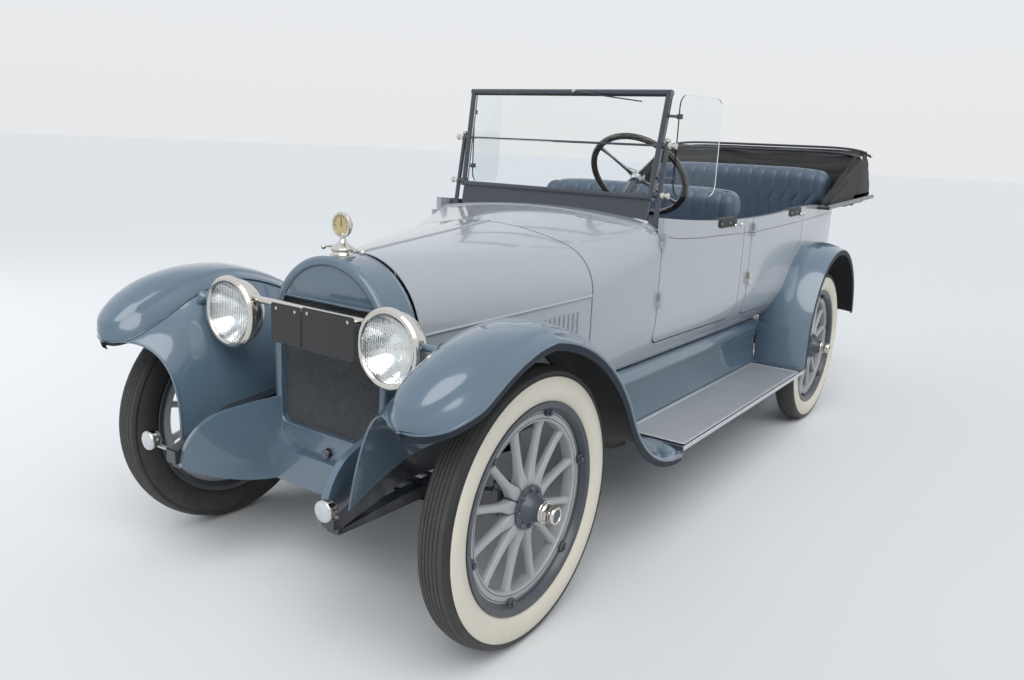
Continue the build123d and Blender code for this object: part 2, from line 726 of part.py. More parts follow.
with BuildPart() as body_shell:
    loft([body_section(*row, 0, floor_z) for row in body_table])
    loft([body_section(*row, body_wall, floor_z - 1) for row in body_table], mode=Mode.SUBTRACT)
    # The back panel
    with BuildSketch(Plane.XZ.offset(-at(body_rear - body_wall))):
        with Locations((0, (floor_z + body_high) / 2)):
            Rectangle(2 * (body_table[-1][1] - body_wall / 2), body_high - floor_z)
    extrude(amount=-body_wall)
    # Plan view, with round rear corners
    with BuildSketch(Plane.XY.offset(floor_z)):
        with Locations((0, at(body_rear - 2000))):
            RectangleRounded(1600, 4000, body_rear_corner)
    extrude(amount=body_high - floor_z, mode=Mode.INTERSECT)
    # Side view, with the top edge and the round tail
    with BuildSketch(Plane.YZ.offset(-800)):
        with BuildLine():
            Line((at(body_front), floor_z), (at(3400), floor_z))
            ThreePointArc((at(3400), floor_z), (at(3528), 698), (at(body_rear), 850))
            Line((at(body_rear), 850), (at(body_rear), 1216))
            ThreePointArc((at(body_rear), 1216), (at(3100), 1250), (at(2592), 1239))
            ThreePointArc((at(2592), 1239), (at(1850), 1217), (at(body_front), 1250))
            Line((at(body_front), 1250), (at(body_front), floor_z))
        make_face()
    extrude(amount=1600, mode=Mode.INTERSECT)

# Door outlines in side view: front edge, rear edge, bottom, then the rear door's curved heel
door_low = 727
door_corner = 60
front_door = (cowl_rear, 1960)
rear_door = (2050, 2830)
widening = (body_table[1][1] - body_table[0][1]) / (body_table[1][0] - body_front)
rear_door_half = body_table[0][1] + widening * (rear_door[0] - body_front)
door_hinges = {  # axis half width and station
    "front": (cowl_table[-1][1] + knuckle_radius + knuckle_clear, front_door[0] + panel_gap / 2),
    "rear": (rear_door_half + knuckle_radius + knuckle_clear, rear_door[0] + panel_gap / 2),
}
fender_centre_station = 3029
fender_centre_z = 540
heel_radius = 548


def door_outline(kind, gap):
    """Side view of a door opening, or of the door itself when gap is the shut line."""
    low = door_low + gap
    with BuildSketch(Plane.YZ) as outline:
        if kind == "front":
            first, last = front_door[0] + gap, front_door[1] - gap
            with BuildLine():
                FilletPolyline(
                    (at(last), body_high), (at(last), low), (at(first), low), (at(first), body_high),
                    radius=door_corner,
                )
                Line((at(first), body_high), (at(last), body_high))
        else:
            first, last = rear_door[0] + gap, rear_door[1] - gap
            reach = heel_radius + gap
            heel = (fender_centre_station - (reach ** 2 - (low - fender_centre_z) ** 2) ** 0.5, low)
            top = (last, fender_centre_z + (reach ** 2 - (fender_centre_station - last) ** 2) ** 0.5)
            heel_angle = radians(42)
            middle = (fender_centre_station - reach * cos(heel_angle), fender_centre_z + reach * sin(heel_angle))
            with BuildLine():
                FilletPolyline((at(heel[0]), low), (at(first), low), (at(first), body_high), radius=door_corner)
                Line((at(first), body_high), (at(last), body_high))
                Line((at(last), body_high), (at(last), top[1]))
                ThreePointArc((at(last), top[1]), (at(middle[0]), middle[1]), (at(heel[0]), low))
        make_face()
    return outline.sketch


with BuildPart() as body_tub:
    add(body_shell.part)
    for kind in ("front", "rear"):
        extrude(door_outline(kind, 0), amount=800, both=True, mode=Mode.SUBTRACT)
    # Floor, raised over the rear of the frame, and the sill beams on the rails
    with BuildSketch(Plane.XY.offset(floor_z)):
        with Locations((0, at((body_front + raised_floor_start) / 2))):
            Rectangle(2 * (body_table[0][2] - 6), raised_floor_start - body_front)
    extrude(amount=floor_thickness)
    with BuildSketch(Plane.XY.offset(floor_z + raised_floor_lift)):
        with Locations((0, at((raised_floor_start + body_rear - body_wall) / 2))):
            Rectangle(2 * (body_table[0][2] - 6), body_rear - body_wall - raised_floor_start + 2)
    extrude(amount=floor_thickness)
    with BuildSketch(Plane.XY.offset(floor_z)):
        with Locations((0, at(raised_floor_start - floor_thickness / 2))):
            Rectangle(2 * (body_table[0][2] - 6), floor_thickness)
    extrude(amount=raised_floor_lift + floor_thickness)
    with BuildSketch(Plane.XY.offset(rail_top + seat_gap)):
        for s in (-1, 1):
            with Locations((s * rail_x, at((body_front + 2380) / 2))):
                Rectangle(sill_beam[0], 2380 - body_front)
    extrude(amount=floor_z - rail_top)
    for side in (-1, 1):
        fixed_knuckles(side, *door_hinges["rear"])
body_tub.part.label = "body_tub"
export_step(body_tub.part, "parts/body_tub.step")

for kind in ("front", "rear"):
    for name, side in (("left", 1), ("right", -1)):
        with BuildPart() as door:
            add(body_shell.part)
            extrude(door_outline(kind, panel_gap), amount=side * 800, mode=Mode.INTERSECT)
            door_knuckles(side, *door_hinges[kind])
        door.part.label = f"door_{kind}_{name}"
        export_step(door.part, f"parts/door_{kind}_{name}.step")

# Front fenders: a crown swept over the wheel and a skirt down to the rail
front_inner_x = 572
rear_inner_x = 540
fender_drop = 34
fender_flange = 28
fender_inner_flange = 16
fender_sheet = 4
board_front = 950
board_top = 390
board_thickness = 18
board_inner_x = 530
front_points = [(-30, 1011), (400, 800), (524, 640)]
front_heading = -radians(7.6)
nose_table = [  # station, edge height, crown height, inner and outer half width
    (-60, 978, 1014, front_inner_x, side_reach),
    (-110, 976, 1018, front_inner_x, side_reach),
    (-188, 956, 1015, front_inner_x, side_reach),
    (-267, 922, 1001, front_inner_x, side_reach),
    (-328, 886, 982, front_inner_x, side_reach),
    (-393, 852, 953, front_inner_x, side_reach),
    (-453, 824, 913, front_inner_x, side_reach),
    (-490, 808, 868, front_inner_x + 8, side_reach - 14),
    (-508, 798, 822, front_inner_x + 34, side_reach - 44),
]


def arc_from(start, heading, end):
    """Middle point and end heading of the arc that leaves start along heading."""
    run, rise = end[0] - start[0], end[1] - start[1]
    chord_angle = atan2(rise, run)
    sag = hypot(run, rise) / 2 * tan((chord_angle - heading) / 2)
    middle = (start[0] + run / 2 + sag * sin(chord_angle), start[1] + rise / 2 - sag * cos(chord_angle))
    return middle, 2 * chord_angle - heading


def arc_chain(heading, points, last_station):
    """Tangent arcs through the points, leaving the first along heading and level at the last station."""
    arcs = []
    for start, end in zip(points, points[1:]):
        middle, next_heading = arc_from(start, heading, end)
        arcs.append((start, middle, end, heading, next_heading))
        heading = next_heading
    start = points[-1]
    end = (last_station, start[1] + (last_station - start[0]) * tan(heading / 2))
    middle, _ = arc_from(start, heading, end)
    arcs.append((start, middle, end, heading, 0))
    return arcs


def moved_in(arc, drop):
    """The same arc moved towards the wheel by drop."""
    start, middle, end, first, last = arc
    turn = (first + last) / 2
    return [(p[0] + drop * sin(a), p[1] - drop * cos(a)) for p, a in ((start, first), (middle, turn), (end, last))]


def crown_profile(plane, side, inner, outer, inner_flange, drop=fender_drop):
    """Fender crown cut across; the plane's y axis points to the wheel."""
    half = side * (outer - inner) / 2
    t = fender_sheet
    wall = side * t
    low = drop + fender_flange
    inner_low = drop + inner_flange
    with BuildSketch(plane) as profile:
        with BuildLine():
            ThreePointArc((-half, drop), (0, 0), (half, drop))
            Polyline((half, drop), (half, low), (half - wall, low), (half - wall, drop + t))
            ThreePointArc((half - wall, drop + t), (0, t), (wall - half, drop + t))
            Polyline((wall - half, drop + t), (wall - half, inner_low), (-half, inner_low), (-half, drop))
        make_face()
    return profile.sketch


front_arcs = arc_chain(front_heading, front_points, board_front)
rail_face = rail_x + rail_width / 2 + seat_gap
skirt_middle_x = 466
skirt_foot = [(-430, 452), (-300, 520), (-150, 566), (130, 574), (376, 576), (440, 576), (505, 574)]
skirt_middle = [(-470, 735), (-267, 775), (-35, 790), (180, 760), (376, 690), (440, 660), (505, 614)]
skirt_top = [(-483, 809), (-265, 917)]
skirt_front = [(-600, 812), (-500, 812), (-430, 785), (-413, 730), (-417, 430), (-600, 430)]


def skirt_face(x, upper, lower):
    """Thin strip on the plane at x between two rows of points, three points to an arc."""
    with BuildSketch(Plane.YZ.offset(x)) as strip:
        with BuildLine():
            for row in (upper, lower):
                for i in range(0, len(row) - 2, 2):
                    ThreePointArc(*[(at(s), z) for s, z in row[i:i + 3]])
            for a, b in ((upper[0], lower[0]), (upper[-1], lower[-1])):
                Line((at(a[0]), a[1]), (at(b[0]), b[1]))
        make_face()
    return strip.sketch


# Headlamp sizes, shared by the lamps, their bar and the arms on the fender skirts
lamp_x = 367
lamp_z = 904
lamp_rim_radius = 125
lamp_drum_radius = 112
lamp_opening = 104
lens_radius = 108
lamp_front = -244
lens_front = -238
lamp_rim_depth = 22
lamp_drum_rear = -190
lamp_rear = -116
lens_thickness = 6
lamp_bar_z = 962
lamp_bar_station = -206
lamp_bar_radius = 12
lamp_arm_z = 926
lamp_arm_end = 569
with BuildPart() as front_fenders:
    for side in (-1, 1):
        with BuildLine(Plane.YZ.offset(side * (front_inner_x + side_reach) / 2)) as path:
            for start, middle, end, *_ in front_arcs:
                ThreePointArc(*[(at(s), z) for s, z in (start, middle, end)])
        start_plane = Plane(origin=path.line @ 0, x_dir=(1, 0, 0), z_dir=path.line % 0)
        first_profile = crown_profile(start_plane, side, front_inner_x, side_reach, fender_inner_flange)
        sweep(first_profile, path=path.line)
        # The crown rises over its edges towards the nose
        nose = [first_profile]
        for station, edge_z, crown_z, inner, outer in nose_table:
            top = (side * (inner + outer) / 2, at(station), crown_z)
            plane = Plane(origin=top, x_dir=(1, 0, 0), z_dir=(0, 1, 0))
            nose.append(crown_profile(plane, side, inner, outer, fender_inner_flange, crown_z - edge_z))
        loft(nose)
    # The skirt, with a hollow front edge
    for side in (-1, 1):
        upper, lower = list(skirt_top), [(s, z - fender_sheet) for s, z in skirt_top]
        for arc in front_arcs[:2]:
            upper += moved_in(arc, fender_drop + 2)[1 if len(upper) > 2 else 0:]
            lower += moved_in(arc, fender_drop + 2 + fender_sheet)[1 if len(lower) > 2 else 0:]
        rows = [(front_inner_x + 2, upper, lower)]
        for x, row in ((skirt_middle_x, skirt_middle), (rail_face, skirt_foot)):
            rows.append((x, row, [(s, z - fender_sheet) for s, z in row]))
        loft([skirt_face(side * x, top, under) for x, top, under in rows], ruled=True)
        with BuildSketch(Plane.YZ):
            with BuildLine():
                Polyline(*[(at(s), z) for s, z in (*skirt_front[3:], *skirt_front[:2])])
                ThreePointArc(*[(at(s), z) for s, z in skirt_front[1:4]])
            make_face()
        extrude(amount=side * (front_inner_x - 1), mode=Mode.SUBTRACT)
    for side in (-1, 1):
        with BuildSketch(Plane.YZ.offset(side * (lamp_x + lamp_drum_radius - 20))):
            with Locations((at(lamp_bar_station), lamp_arm_z)):
                Circle(lamp_bar_radius)
        extrude(amount=side * (lamp_arm_end - lamp_x - lamp_drum_radius + 20))
    with BuildSketch(Plane.XZ.offset(-at(lamp_bar_station - 30))):
        with Locations((-lamp_x, lamp_z), (lamp_x, lamp_z)):
            Circle(lamp_drum_radius + seat_gap)
    extrude(amount=-60, mode=Mode.SUBTRACT)
front_fenders.part.label = "front_fenders"
export_step(front_fenders.part, "parts/front_fenders.step")

# Rear fenders: a vertical front foot, then a round arch over the wheel, against the body
rear_arch_radius = 507
rear_fender_end_z = 590
with BuildPart() as rear_fenders:
    front_s = fender_centre_station - rear_arch_radius
    rear_angle = asin((rear_fender_end_z - fender_centre_z) / rear_arch_radius)
    for side in (-1, 1):
        with BuildLine(Plane.YZ.offset(side * (rear_inner_x + side_reach) / 2)) as path:
            Line((at(front_s), board_top + seat_gap), (at(front_s), fender_centre_z))
            points = [
                (at(fender_centre_station - rear_arch_radius * cos(a)),
                 fender_centre_z + rear_arch_radius * sin(a))
                for a in (0, (pi - rear_angle) / 2, pi - rear_angle)
            ]
            ThreePointArc(*points)
        start_plane = Plane(origin=path.line @ 0, x_dir=(1, 0, 0), z_dir=path.line % 0)
        sweep(crown_profile(start_plane, side, rear_inner_x, side_reach, 30), path=path.line)
    loft([body_section(*row, -seat_gap, floor_z) for row in body_table], mode=Mode.SUBTRACT)
rear_fenders.part.label = "rear_fenders"
export_step(rear_fenders.part, "parts/rear_fenders.step")

# Running boards on brackets from the rails
board_rear = front_s + 24
mat_front = board_front + 30
mat_rear = front_s - 50
mat_inner_x = 562
mat_outer_x = side_reach - 14
mat_thickness = 4
board_under = board_top - board_thickness
bracket_stations = (1120, 1750, 2380)
bracket_width = 40
bracket_sheet = 12
with BuildPart() as running_boards:
    with BuildSketch(Plane.XY.offset(board_under)):
        for side in (-1, 1):
            middle = at((board_front + seat_gap + board_rear) / 2)
            with Locations((side * (board_inner_x + side_reach) / 2, middle)):
                Rectangle(side_reach - board_inner_x, board_rear - board_front - seat_gap)
    extrude(amount=board_thickness)
    # The raised mat between the bare edges and the feet of the fenders
    with BuildSketch(Plane.XY.offset(board_top)):
        for side in (-1, 1):
            with Locations((side * (mat_inner_x + mat_outer_x) / 2, at((mat_front + mat_rear) / 2))):
                Rectangle(mat_outer_x - mat_inner_x, mat_rear - mat_front)
    extrude(amount=mat_thickness)
    for side in (-1, 1):
        for station in bracket_stations:
            with BuildSketch(Plane.XZ.offset(-at(station - bracket_width / 2))):
                with BuildLine():
                    Polyline(
                        (side * rail_face, rail_top - 12), (side * rail_face, board_under - 2 * bracket_sheet),
                        (side * (side_reach - 60), board_under - bracket_sheet),
                        (side * (side_reach - 60), board_under),
                        (side * (rail_face + bracket_sheet), board_under),
                        (side * (rail_face + bracket_sheet), rail_top - 12), close=True,
                    )
                make_face()
            extrude(amount=-bracket_width)
running_boards.part.label = "running_boards"
export_step(running_boards.part, "parts/running_boards.step")

# Splash aprons: long ones from the body down to the boards, short ones between the front horns
apron_sheet = 3
apron_front = 512
apron_rear = front_s - 4
apron_points = [(508, 632), (541, 606), (538, 560), (530, 500), (546, board_top + seat_gap)]
swoop_thickness = 22
swoop_root_x = 250
swoop_end = -470
# Distance along the panel from the radiator and height, three points to an arc
swoop_top = [(0, 610), (110, 600), (196, 588), (293, 543), (350, 421)]
swoop_low = [(348, 417), (190, 345), (0, 312)]
panel_station = -150
panel_sheet = 5
panel_low = 312
panel_top = [(243, 548), (208, 468), (110, 431)]
with BuildPart() as aprons:
    for side in (-1, 1):
        with BuildSketch(Plane.XZ.offset(-at(apron_front))):
            with BuildLine():
                for shift in (0, -apron_sheet):
                    row = [(side * (x + shift), z) for x, z in apron_points]
                    ThreePointArc(*row[:3])
                    ThreePointArc(*row[2:])
                for x, z in (apron_points[0], apron_points[-1]):
                    Line((side * x, z), (side * (x - apron_sheet), z))
            make_face()
        extrude(amount=-(apron_rear - apron_front))
        # Brackets that reach the apron from the rail
        with BuildSketch(Plane.XY.offset(rail_top - 40)):
            for station in (bracket_stations[0] + 60, bracket_stations[2] - 60):
                with Locations((side * (rail_face + 534) / 2, at(station))):
                    Rectangle(534 - rail_face, bracket_width)
        extrude(amount=6)
    # Front panels that sweep from the radiator foot to the horns
    for side in (-1, 1):
        start = Vector(side * swoop_root_x, at(shell_front - seat_gap))
        run = Vector(side * (rail_x - rail_width / 2 - seat_gap), at(swoop_end)) - start
        with BuildSketch(Plane(origin=start, x_dir=run, z_dir=(run.Y, -run.X, 0))):
            with BuildLine():
                ThreePointArc(*swoop_top[:3])
                ThreePointArc(*swoop_top[2:])
                Line(swoop_top[-1], swoop_low[0])
                ThreePointArc(*swoop_low)
                Line(swoop_low[-1], swoop_top[0])
            make_face()
        extrude(amount=side * swoop_thickness)
    # The panel under the radiator, and a lip from its top edge back to the shell
    mirrored = [(-x, z) for x, z in panel_top]
    with BuildSketch(Plane.XZ.offset(-at(panel_station))):
        with BuildLine():
            ThreePointArc(*panel_top)
            ThreePointArc(*mirrored)
            Line(panel_top[-1], mirrored[-1])
            Polyline(mirrored[0], (mirrored[0][0], panel_low), (panel_top[0][0], panel_low), panel_top[0])
        make_face()
    extrude(amount=-panel_sheet)
    with BuildSketch(Plane.XZ.offset(-at(panel_station))):
        with BuildLine():
            for drop in (0, panel_sheet):
                right, left = ([(x, z - drop) for x, z in row] for row in (panel_top, mirrored))
                ThreePointArc(*right)
                ThreePointArc(*left)
                Line(right[-1], left[-1])
            for x, z in (panel_top[0], mirrored[0]):
                Line((x, z), (x, z - panel_sheet))
        make_face()
    extrude(amount=panel_station - shell_front + seat_gap)
aprons.part.label = "aprons"
export_step(aprons.part, "parts/aprons.step")

# Headlamps: rim, drum and a bowl closing to the rear
with BuildPart() as headlamps:
    for side in (-1, 1):
        axis = Axis((side * lamp_x, 0, lamp_z), (0, 1, 0))
        with BuildSketch(Plane(origin=(side * lamp_x, 0, lamp_z), x_dir=(1, 0, 0), z_dir=(0, 0, 1))):
            with BuildLine():
                Polyline(
                    (14, at(lamp_rear)), (0, at(lamp_rear)), (0, at(lamp_front)),
                    (lamp_rim_radius - 6, at(lamp_front)),
                    (lamp_rim_radius, at(lamp_front + 6)), (lamp_rim_radius, at(lamp_front + lamp_rim_depth)),
                    (lamp_drum_radius, at(lamp_front + lamp_rim_depth)), (lamp_drum_radius, at(lamp_drum_rear)),
                )
                ThreePointArc((lamp_drum_radius, at(lamp_drum_rear)), (82, at(-150)), (14, at(lamp_rear)))
            make_face()
        revolve(axis=axis)
        with BuildSketch(Plane(origin=(side * lamp_x, 0, lamp_z), x_dir=(1, 0, 0), z_dir=(0, 0, 1))):
            with BuildLine():
                Polyline(
                    (0, at(lamp_front)), (lamp_opening, at(lamp_front)), (lamp_opening, at(lens_front)),
                    (lens_radius, at(lens_front)), (lens_radius, at(lens_front + 20)), (30, at(-156)),
                    (0, at(-156)), close=True,
                )
            make_face()
        revolve(axis=axis, mode=Mode.SUBTRACT)
headlamps.part.label = "headlamps"
export_step(headlamps.part, "parts/headlamps.step")

with BuildPart() as headlamp_lenses:
    with BuildSketch(Plane.XZ.offset(-at(lens_front + seat_gap))):
        with Locations((-lamp_x, lamp_z), (lamp_x, lamp_z)):
            Circle(lens_radius - seat_gap)
    extrude(amount=-lens_thickness)
headlamp_lenses.part.label = "headlamp_lenses"
export_step(headlamp_lenses.part, "parts/headlamp_lenses.step")

# Bar between the lamps, and an arm from each lamp to the fender skirt
with BuildPart() as lamp_bar:
    with Locations((0, at(lamp_bar_station), lamp_bar_z)):
        Cylinder(lamp_bar_radius, 2 * (lamp_x - 60), rotation=(0, 90, 0))
    with BuildSketch(Plane.XZ.offset(-at(lamp_bar_station - 30))):
        with Locations((-lamp_x, lamp_z), (lamp_x, lamp_z)):
            Circle(lamp_drum_radius + seat_gap)
    extrude(amount=-60, mode=Mode.SUBTRACT)
lamp_bar.part.label = "lamp_bar"
export_step(lamp_bar.part, "parts/lamp_bar.step")

# Small lamps on the tips of the frame horns
with BuildPart() as horn_lamps:
    for side in (-1, 1):
        with BuildSketch(Plane.XZ.offset(-at(horn_station - 62))):
            with Locations((side * 412, 509)):
                Circle(28)
        extrude(amount=-52)
        with BuildSketch(Plane.XY.offset(horn_z + horn_half + seat_gap)):
            with Locations((side * 395, at(horn_station - 8))):
                Rectangle(24, 36)
        extrude(amount=14)
horn_lamps.part.label = "horn_lamps"
export_step(horn_lamps.part, "parts/horn_lamps.step")

# Windshield: a leaning frame with two panes, held by a stanchion on each side
shield_foot = Vector(0, at(1185), 1309)
shield_lean = Vector(0, 75, 442).normalized()
shield_plane = Plane(origin=shield_foot, x_dir=(1, 0, 0), z_dir=Vector(1, 0, 0).cross(shield_lean))
shield_height = 448
shield_split = 225
split_half = 3
shield_foot_half = 494
shield_top_half = 508
tube = 22
stanchion_x = 521
stanchion_radius = 10
wing_front = (524, 1300)
wing_rear = (587, 1600)
wing_low = 1325
wing_high = 1740
wing_thickness = 6
wing_corner = 50
wing_run = Vector(wing_rear[0] - wing_front[0], wing_rear[1] - wing_front[1], 0)
clamp_heights = (1400, 1650)


def pane_outline(low, high, gap):
    """Opening of one pane in the plane of the windshield, made smaller by gap."""
    slope = (shield_top_half - shield_foot_half) / shield_height
    low_half = shield_foot_half - tube + slope * low - gap
    high_half = shield_foot_half - tube + slope * high - gap
    with BuildSketch(shield_plane) as outline:
        with BuildLine():
            Polyline(
                (-low_half, low + gap), (low_half, low + gap), (high_half, high - gap), (-high_half, high - gap),
                close=True,
            )
        make_face()
    return outline.sketch


pane_spans = ((tube, shield_split - split_half), (shield_split + split_half, shield_height - tube))


def wing_plane(side):
    """Inner face of a wind wing: x runs back along the wing and y is up."""
    origin = (side * wing_front[0], at(wing_front[1]), 0)
    run = (side * wing_run.X, wing_run.Y, 0)
    return Plane(origin=origin, x_dir=run, z_dir=(wing_run.Y, -side * wing_run.X, 0))


with BuildPart() as windshield_frame:
    with BuildSketch(shield_plane):
        with BuildLine():
            Polyline(
                (-shield_foot_half, 0), (shield_foot_half, 0), (shield_top_half, shield_height),
                (-shield_top_half, shield_height), close=True,
            )
        make_face()
    extrude(amount=tube / 2, both=True)
    for low, high in pane_spans:
        extrude(pane_outline(low, high, 0), amount=tube, both=True, mode=Mode.SUBTRACT)
    for side in (-1, 1):
        base = shield_foot + Vector(side * stanchion_x, 0, 0) - shield_lean * 112
        with BuildSketch(Plane(origin=base, z_dir=shield_lean)):
            Circle(stanchion_radius)
        extrude(amount=352)
        with BuildSketch(Plane(origin=base, z_dir=shield_lean)):
            Rectangle(34, 46)
        extrude(amount=46)
        for height in (24, shield_split):
            joint = shield_foot + shield_lean * height
            with BuildSketch(Plane.YZ.offset(side * (shield_foot_half - 6))):
                with Locations((joint.Y, joint.Z)):
                    Circle(11)
            extrude(amount=side * (stanchion_x - shield_foot_half + 8))
        for z in clamp_heights:
            grip_y = shield_foot.Y + (z - shield_foot.Z) * shield_lean.Y / shield_lean.Z
            first = Vector(side * (shield_foot_half + 2), grip_y, z)
            last = Vector(side * (wing_front[0] + 4), at(wing_front[1] + 4), z)
            with BuildSketch(Plane(origin=first, z_dir=last - first)):
                Circle(6)
            extrude(amount=(last - first).length)
            with BuildSketch(Plane(origin=last + Vector(0, 0, -10), z_dir=(0, 0, 1))):
                Circle(13)
            extrude(amount=20)
    deck = deck_section(Plane.XZ.offset(-at(cowl_rear)), seat_gap, 200)
    extrude(deck, amount=-(deck_rear - cowl_rear + 60), mode=Mode.SUBTRACT)
    for side in (-1, 1):
        with BuildSketch(wing_plane(side).offset(-side * seat_gap)):
            with Locations((200 - seat_gap, (wing_low + wing_high) / 2)):
                Rectangle(400, wing_high - wing_low)
        extrude(amount=side * (wing_thickness + 2 * seat_gap), mode=Mode.SUBTRACT)
windshield_frame.part.label = "windshield_frame"
export_step(windshield_frame.part, "parts/windshield_frame.step")

with BuildPart() as windshield_glass:
    for low, high in pane_spans:
        extrude(pane_outline(low, high, seat_gap), amount=2.5, both=True)
windshield_glass.part.label = "windshield_glass"
export_step(windshield_glass.part, "parts/windshield_glass.step")

with BuildPart() as wind_wings:
    for side in (-1, 1):
        with BuildSketch(wing_plane(side)):
            with Locations((wing_run.length / 2, (wing_low + wing_high) / 2)):
                RectangleRounded(wing_run.length, wing_high - wing_low, wing_corner)
        extrude(amount=side * wing_thickness)
wind_wings.part.label = "wind_wings"
export_step(wind_wings.part, "parts/wind_wings.step")

# Dashboard behind the deck
dash_depth = 20
dash_half = 540
with BuildPart() as dashboard:
    with BuildSketch(Plane.XZ.offset(-at(deck_rear + seat_gap))):
        with Locations((0, 1130)):
            Rectangle(2 * dash_half, 260)
    extrude(amount=-dash_depth)
    extrude(
        cowl_section(deck_rear, *cowl_table[-1][1:6], cowl_table[-1][6], cowl_wall, 1000),
        amount=-2 * dash_depth, mode=Mode.INTERSECT,
    )
    with BuildSketch(Plane(origin=wheel_centre + column_dir * 200, z_dir=column_dir)):
        Circle(column_hole)
    extrude(amount=200, mode=Mode.SUBTRACT)
dashboard.part.label = "dashboard"
export_step(dashboard.part, "parts/dashboard.step")

# Steering wheel and column
wheel_rim_radius = 215
wheel_rim_section = 13
wheel_hub_radius = 32
wheel_hub_depth = 50
column_start = 60
column_end = 1340
shaft_radius = 11
wheel_plane = Plane(origin=wheel_centre, x_dir=(1, 0, 0), z_dir=-column_dir)
with BuildPart() as steering_wheel:
    with BuildSketch(Plane(origin=wheel_centre, x_dir=(1, 0, 0), z_dir=wheel_plane.y_dir)):
        with Locations((wheel_rim_radius, 0)):
            Circle(wheel_rim_section)
    revolve(axis=Axis(wheel_centre, column_dir))
    with BuildSketch(wheel_plane.offset(-wheel_hub_depth)):
        Circle(wheel_hub_radius)
    extrude(amount=wheel_hub_depth + 12)
    for index in range(4):
        a = radians(45 + 90 * index)
        out = wheel_plane.x_dir * cos(a) + wheel_plane.y_dir * sin(a)
        spoke_root = wheel_centre - wheel_plane.z_dir * 14 + out * (wheel_hub_radius - 6)
        with BuildSketch(Plane(origin=spoke_root, z_dir=out)):
            Circle(10)
        extrude(amount=wheel_rim_radius - wheel_hub_radius + 4)
    with BuildSketch(wheel_plane.offset(-wheel_hub_depth)):
        Circle(shaft_radius + running_fit)
    extrude(amount=wheel_hub_depth - 4, mode=Mode.SUBTRACT)
steering_wheel.part.label = "steering_wheel"
export_step(steering_wheel.part, "parts/steering_wheel.step")

gear_box_size = (62, 110, 120)
with BuildPart() as steering_column:
    with BuildSketch(wheel_plane.offset(-column_start)):
        Circle(column_radius)
    extrude(amount=-(column_end - column_start))
    with BuildSketch(wheel_plane.offset(-wheel_hub_depth + 38)):
        Circle(shaft_radius)
    extrude(amount=-(column_start - wheel_hub_depth + 38 + 10))
    with Locations((rail_x - rail_width / 2 - seat_gap - gear_box_size[0] / 2, at(384), 530)):
        Box(*gear_box_size)
steering_column.part.label = "steering_column"
export_step(steering_column.part, "parts/steering_column.step")

# Seats
cushion_corner = 30
front_seat_box_half = 460
with BuildPart() as front_seat_cushion:
    with BuildSketch(Plane.XY.offset(floor_z + floor_thickness + seat_gap)):
        with Locations((0, at(1735))):
            Rectangle(2 * front_seat_box_half, 400)
    extrude(amount=170)
    with BuildSketch(Plane.XY.offset(820)):
        with Locations((0, at(1720 - seat_gap))):
            RectangleRounded(1080, 480, cushion_corner)
    extrude(amount=140)
front_seat_cushion.part.label = "front_seat_cushion"
export_step(front_seat_cushion.part, "parts/front_seat_cushion.step")

with BuildPart() as front_seat_back:
    with BuildSketch(Plane.XY.offset(floor_z + floor_thickness + seat_gap)):
        with Locations((0, at(2005))):
            Rectangle(2 * front_seat_box_half, 90)
    extrude(amount=300)
    with BuildSketch(Plane.YZ.offset(-553)):
        with BuildLine():
            Polyline((at(1960), 1290), (at(1960), 900), (at(2090), 900), (at(2110), 1290))
            ThreePointArc((at(2110), 1290), (at(2035), 1350), (at(1960), 1290))
        make_face()
    extrude(amount=1106)
front_seat_back.part.label = "front_seat_back"
export_step(front_seat_back.part, "parts/front_seat_back.step")

raised_floor_top = floor_z + raised_floor_lift + floor_thickness
with BuildPart() as rear_seat_cushion:
    with BuildSketch(Plane.XY.offset(raised_floor_top + seat_gap)):
        with Locations((0, at(3160))):
            Rectangle(2 * front_seat_box_half, 420)
    extrude(amount=180)
    with BuildSketch(Plane.XY.offset(850)):
        with Locations((0, at(3140 - seat_gap))):
            RectangleRounded(1140, 480, cushion_corner)
    extrude(amount=130)
rear_seat_cushion.part.label = "rear_seat_cushion"
export_step(rear_seat_cushion.part, "parts/rear_seat_cushion.step")

with BuildPart() as rear_seat_back:
    with BuildSketch(Plane.XY.offset(raised_floor_top + seat_gap)):
        with Locations((0, at(3450))):
            RectangleRounded(2 * 440, 130, 20)
    extrude(amount=400)
    with BuildSketch(Plane.XY.offset(950)):
        with Locations((0, at(3460))):
            RectangleRounded(1090, 150, 60)
    extrude(amount=300)
    with BuildSketch(Plane.YZ.offset(-600)):
        with BuildLine():
            Polyline((at(3380), 1400), (at(3380), 1246), (at(3540), 1246), (at(3540), 1400))
            ThreePointArc((at(3540), 1400), (at(3460), 1459), (at(3380), 1400))
        make_face()
    extrude(amount=1200)
rear_seat_back.part.label = "rear_seat_back"
export_step(rear_seat_back.part, "parts/rear_seat_back.step")

# Folded top behind the rear seat, with its irons
top_inner_x = 636
top_outer_x = 688
top_rear = rear_overhang + wheelbase
iron_pivot = (3125, 1239)
iron_knob = (4235, 1282)
with BuildPart() as folded_top:
    with BuildSketch(Plane.YZ.offset(-top_outer_x)):
        with BuildLine():
            Polyline(
                (at(3125), 1252), (at(3870), 1590), (at(4080), 1560), (at(top_rear), 1290), (at(4100), 1230),
                (at(3600), 1224), (at(3450), 1224), close=True,
            )
        make_face()
    extrude(amount=2 * top_outer_x)
    with BuildSketch(Plane.XY.offset(1000)):
        with Locations((0, at(2620))):
            Rectangle(2 * top_inner_x, 2000)
    extrude(amount=800, mode=Mode.SUBTRACT)
folded_top.part.label = "folded_top"
export_step(folded_top.part, "parts/folded_top.step")

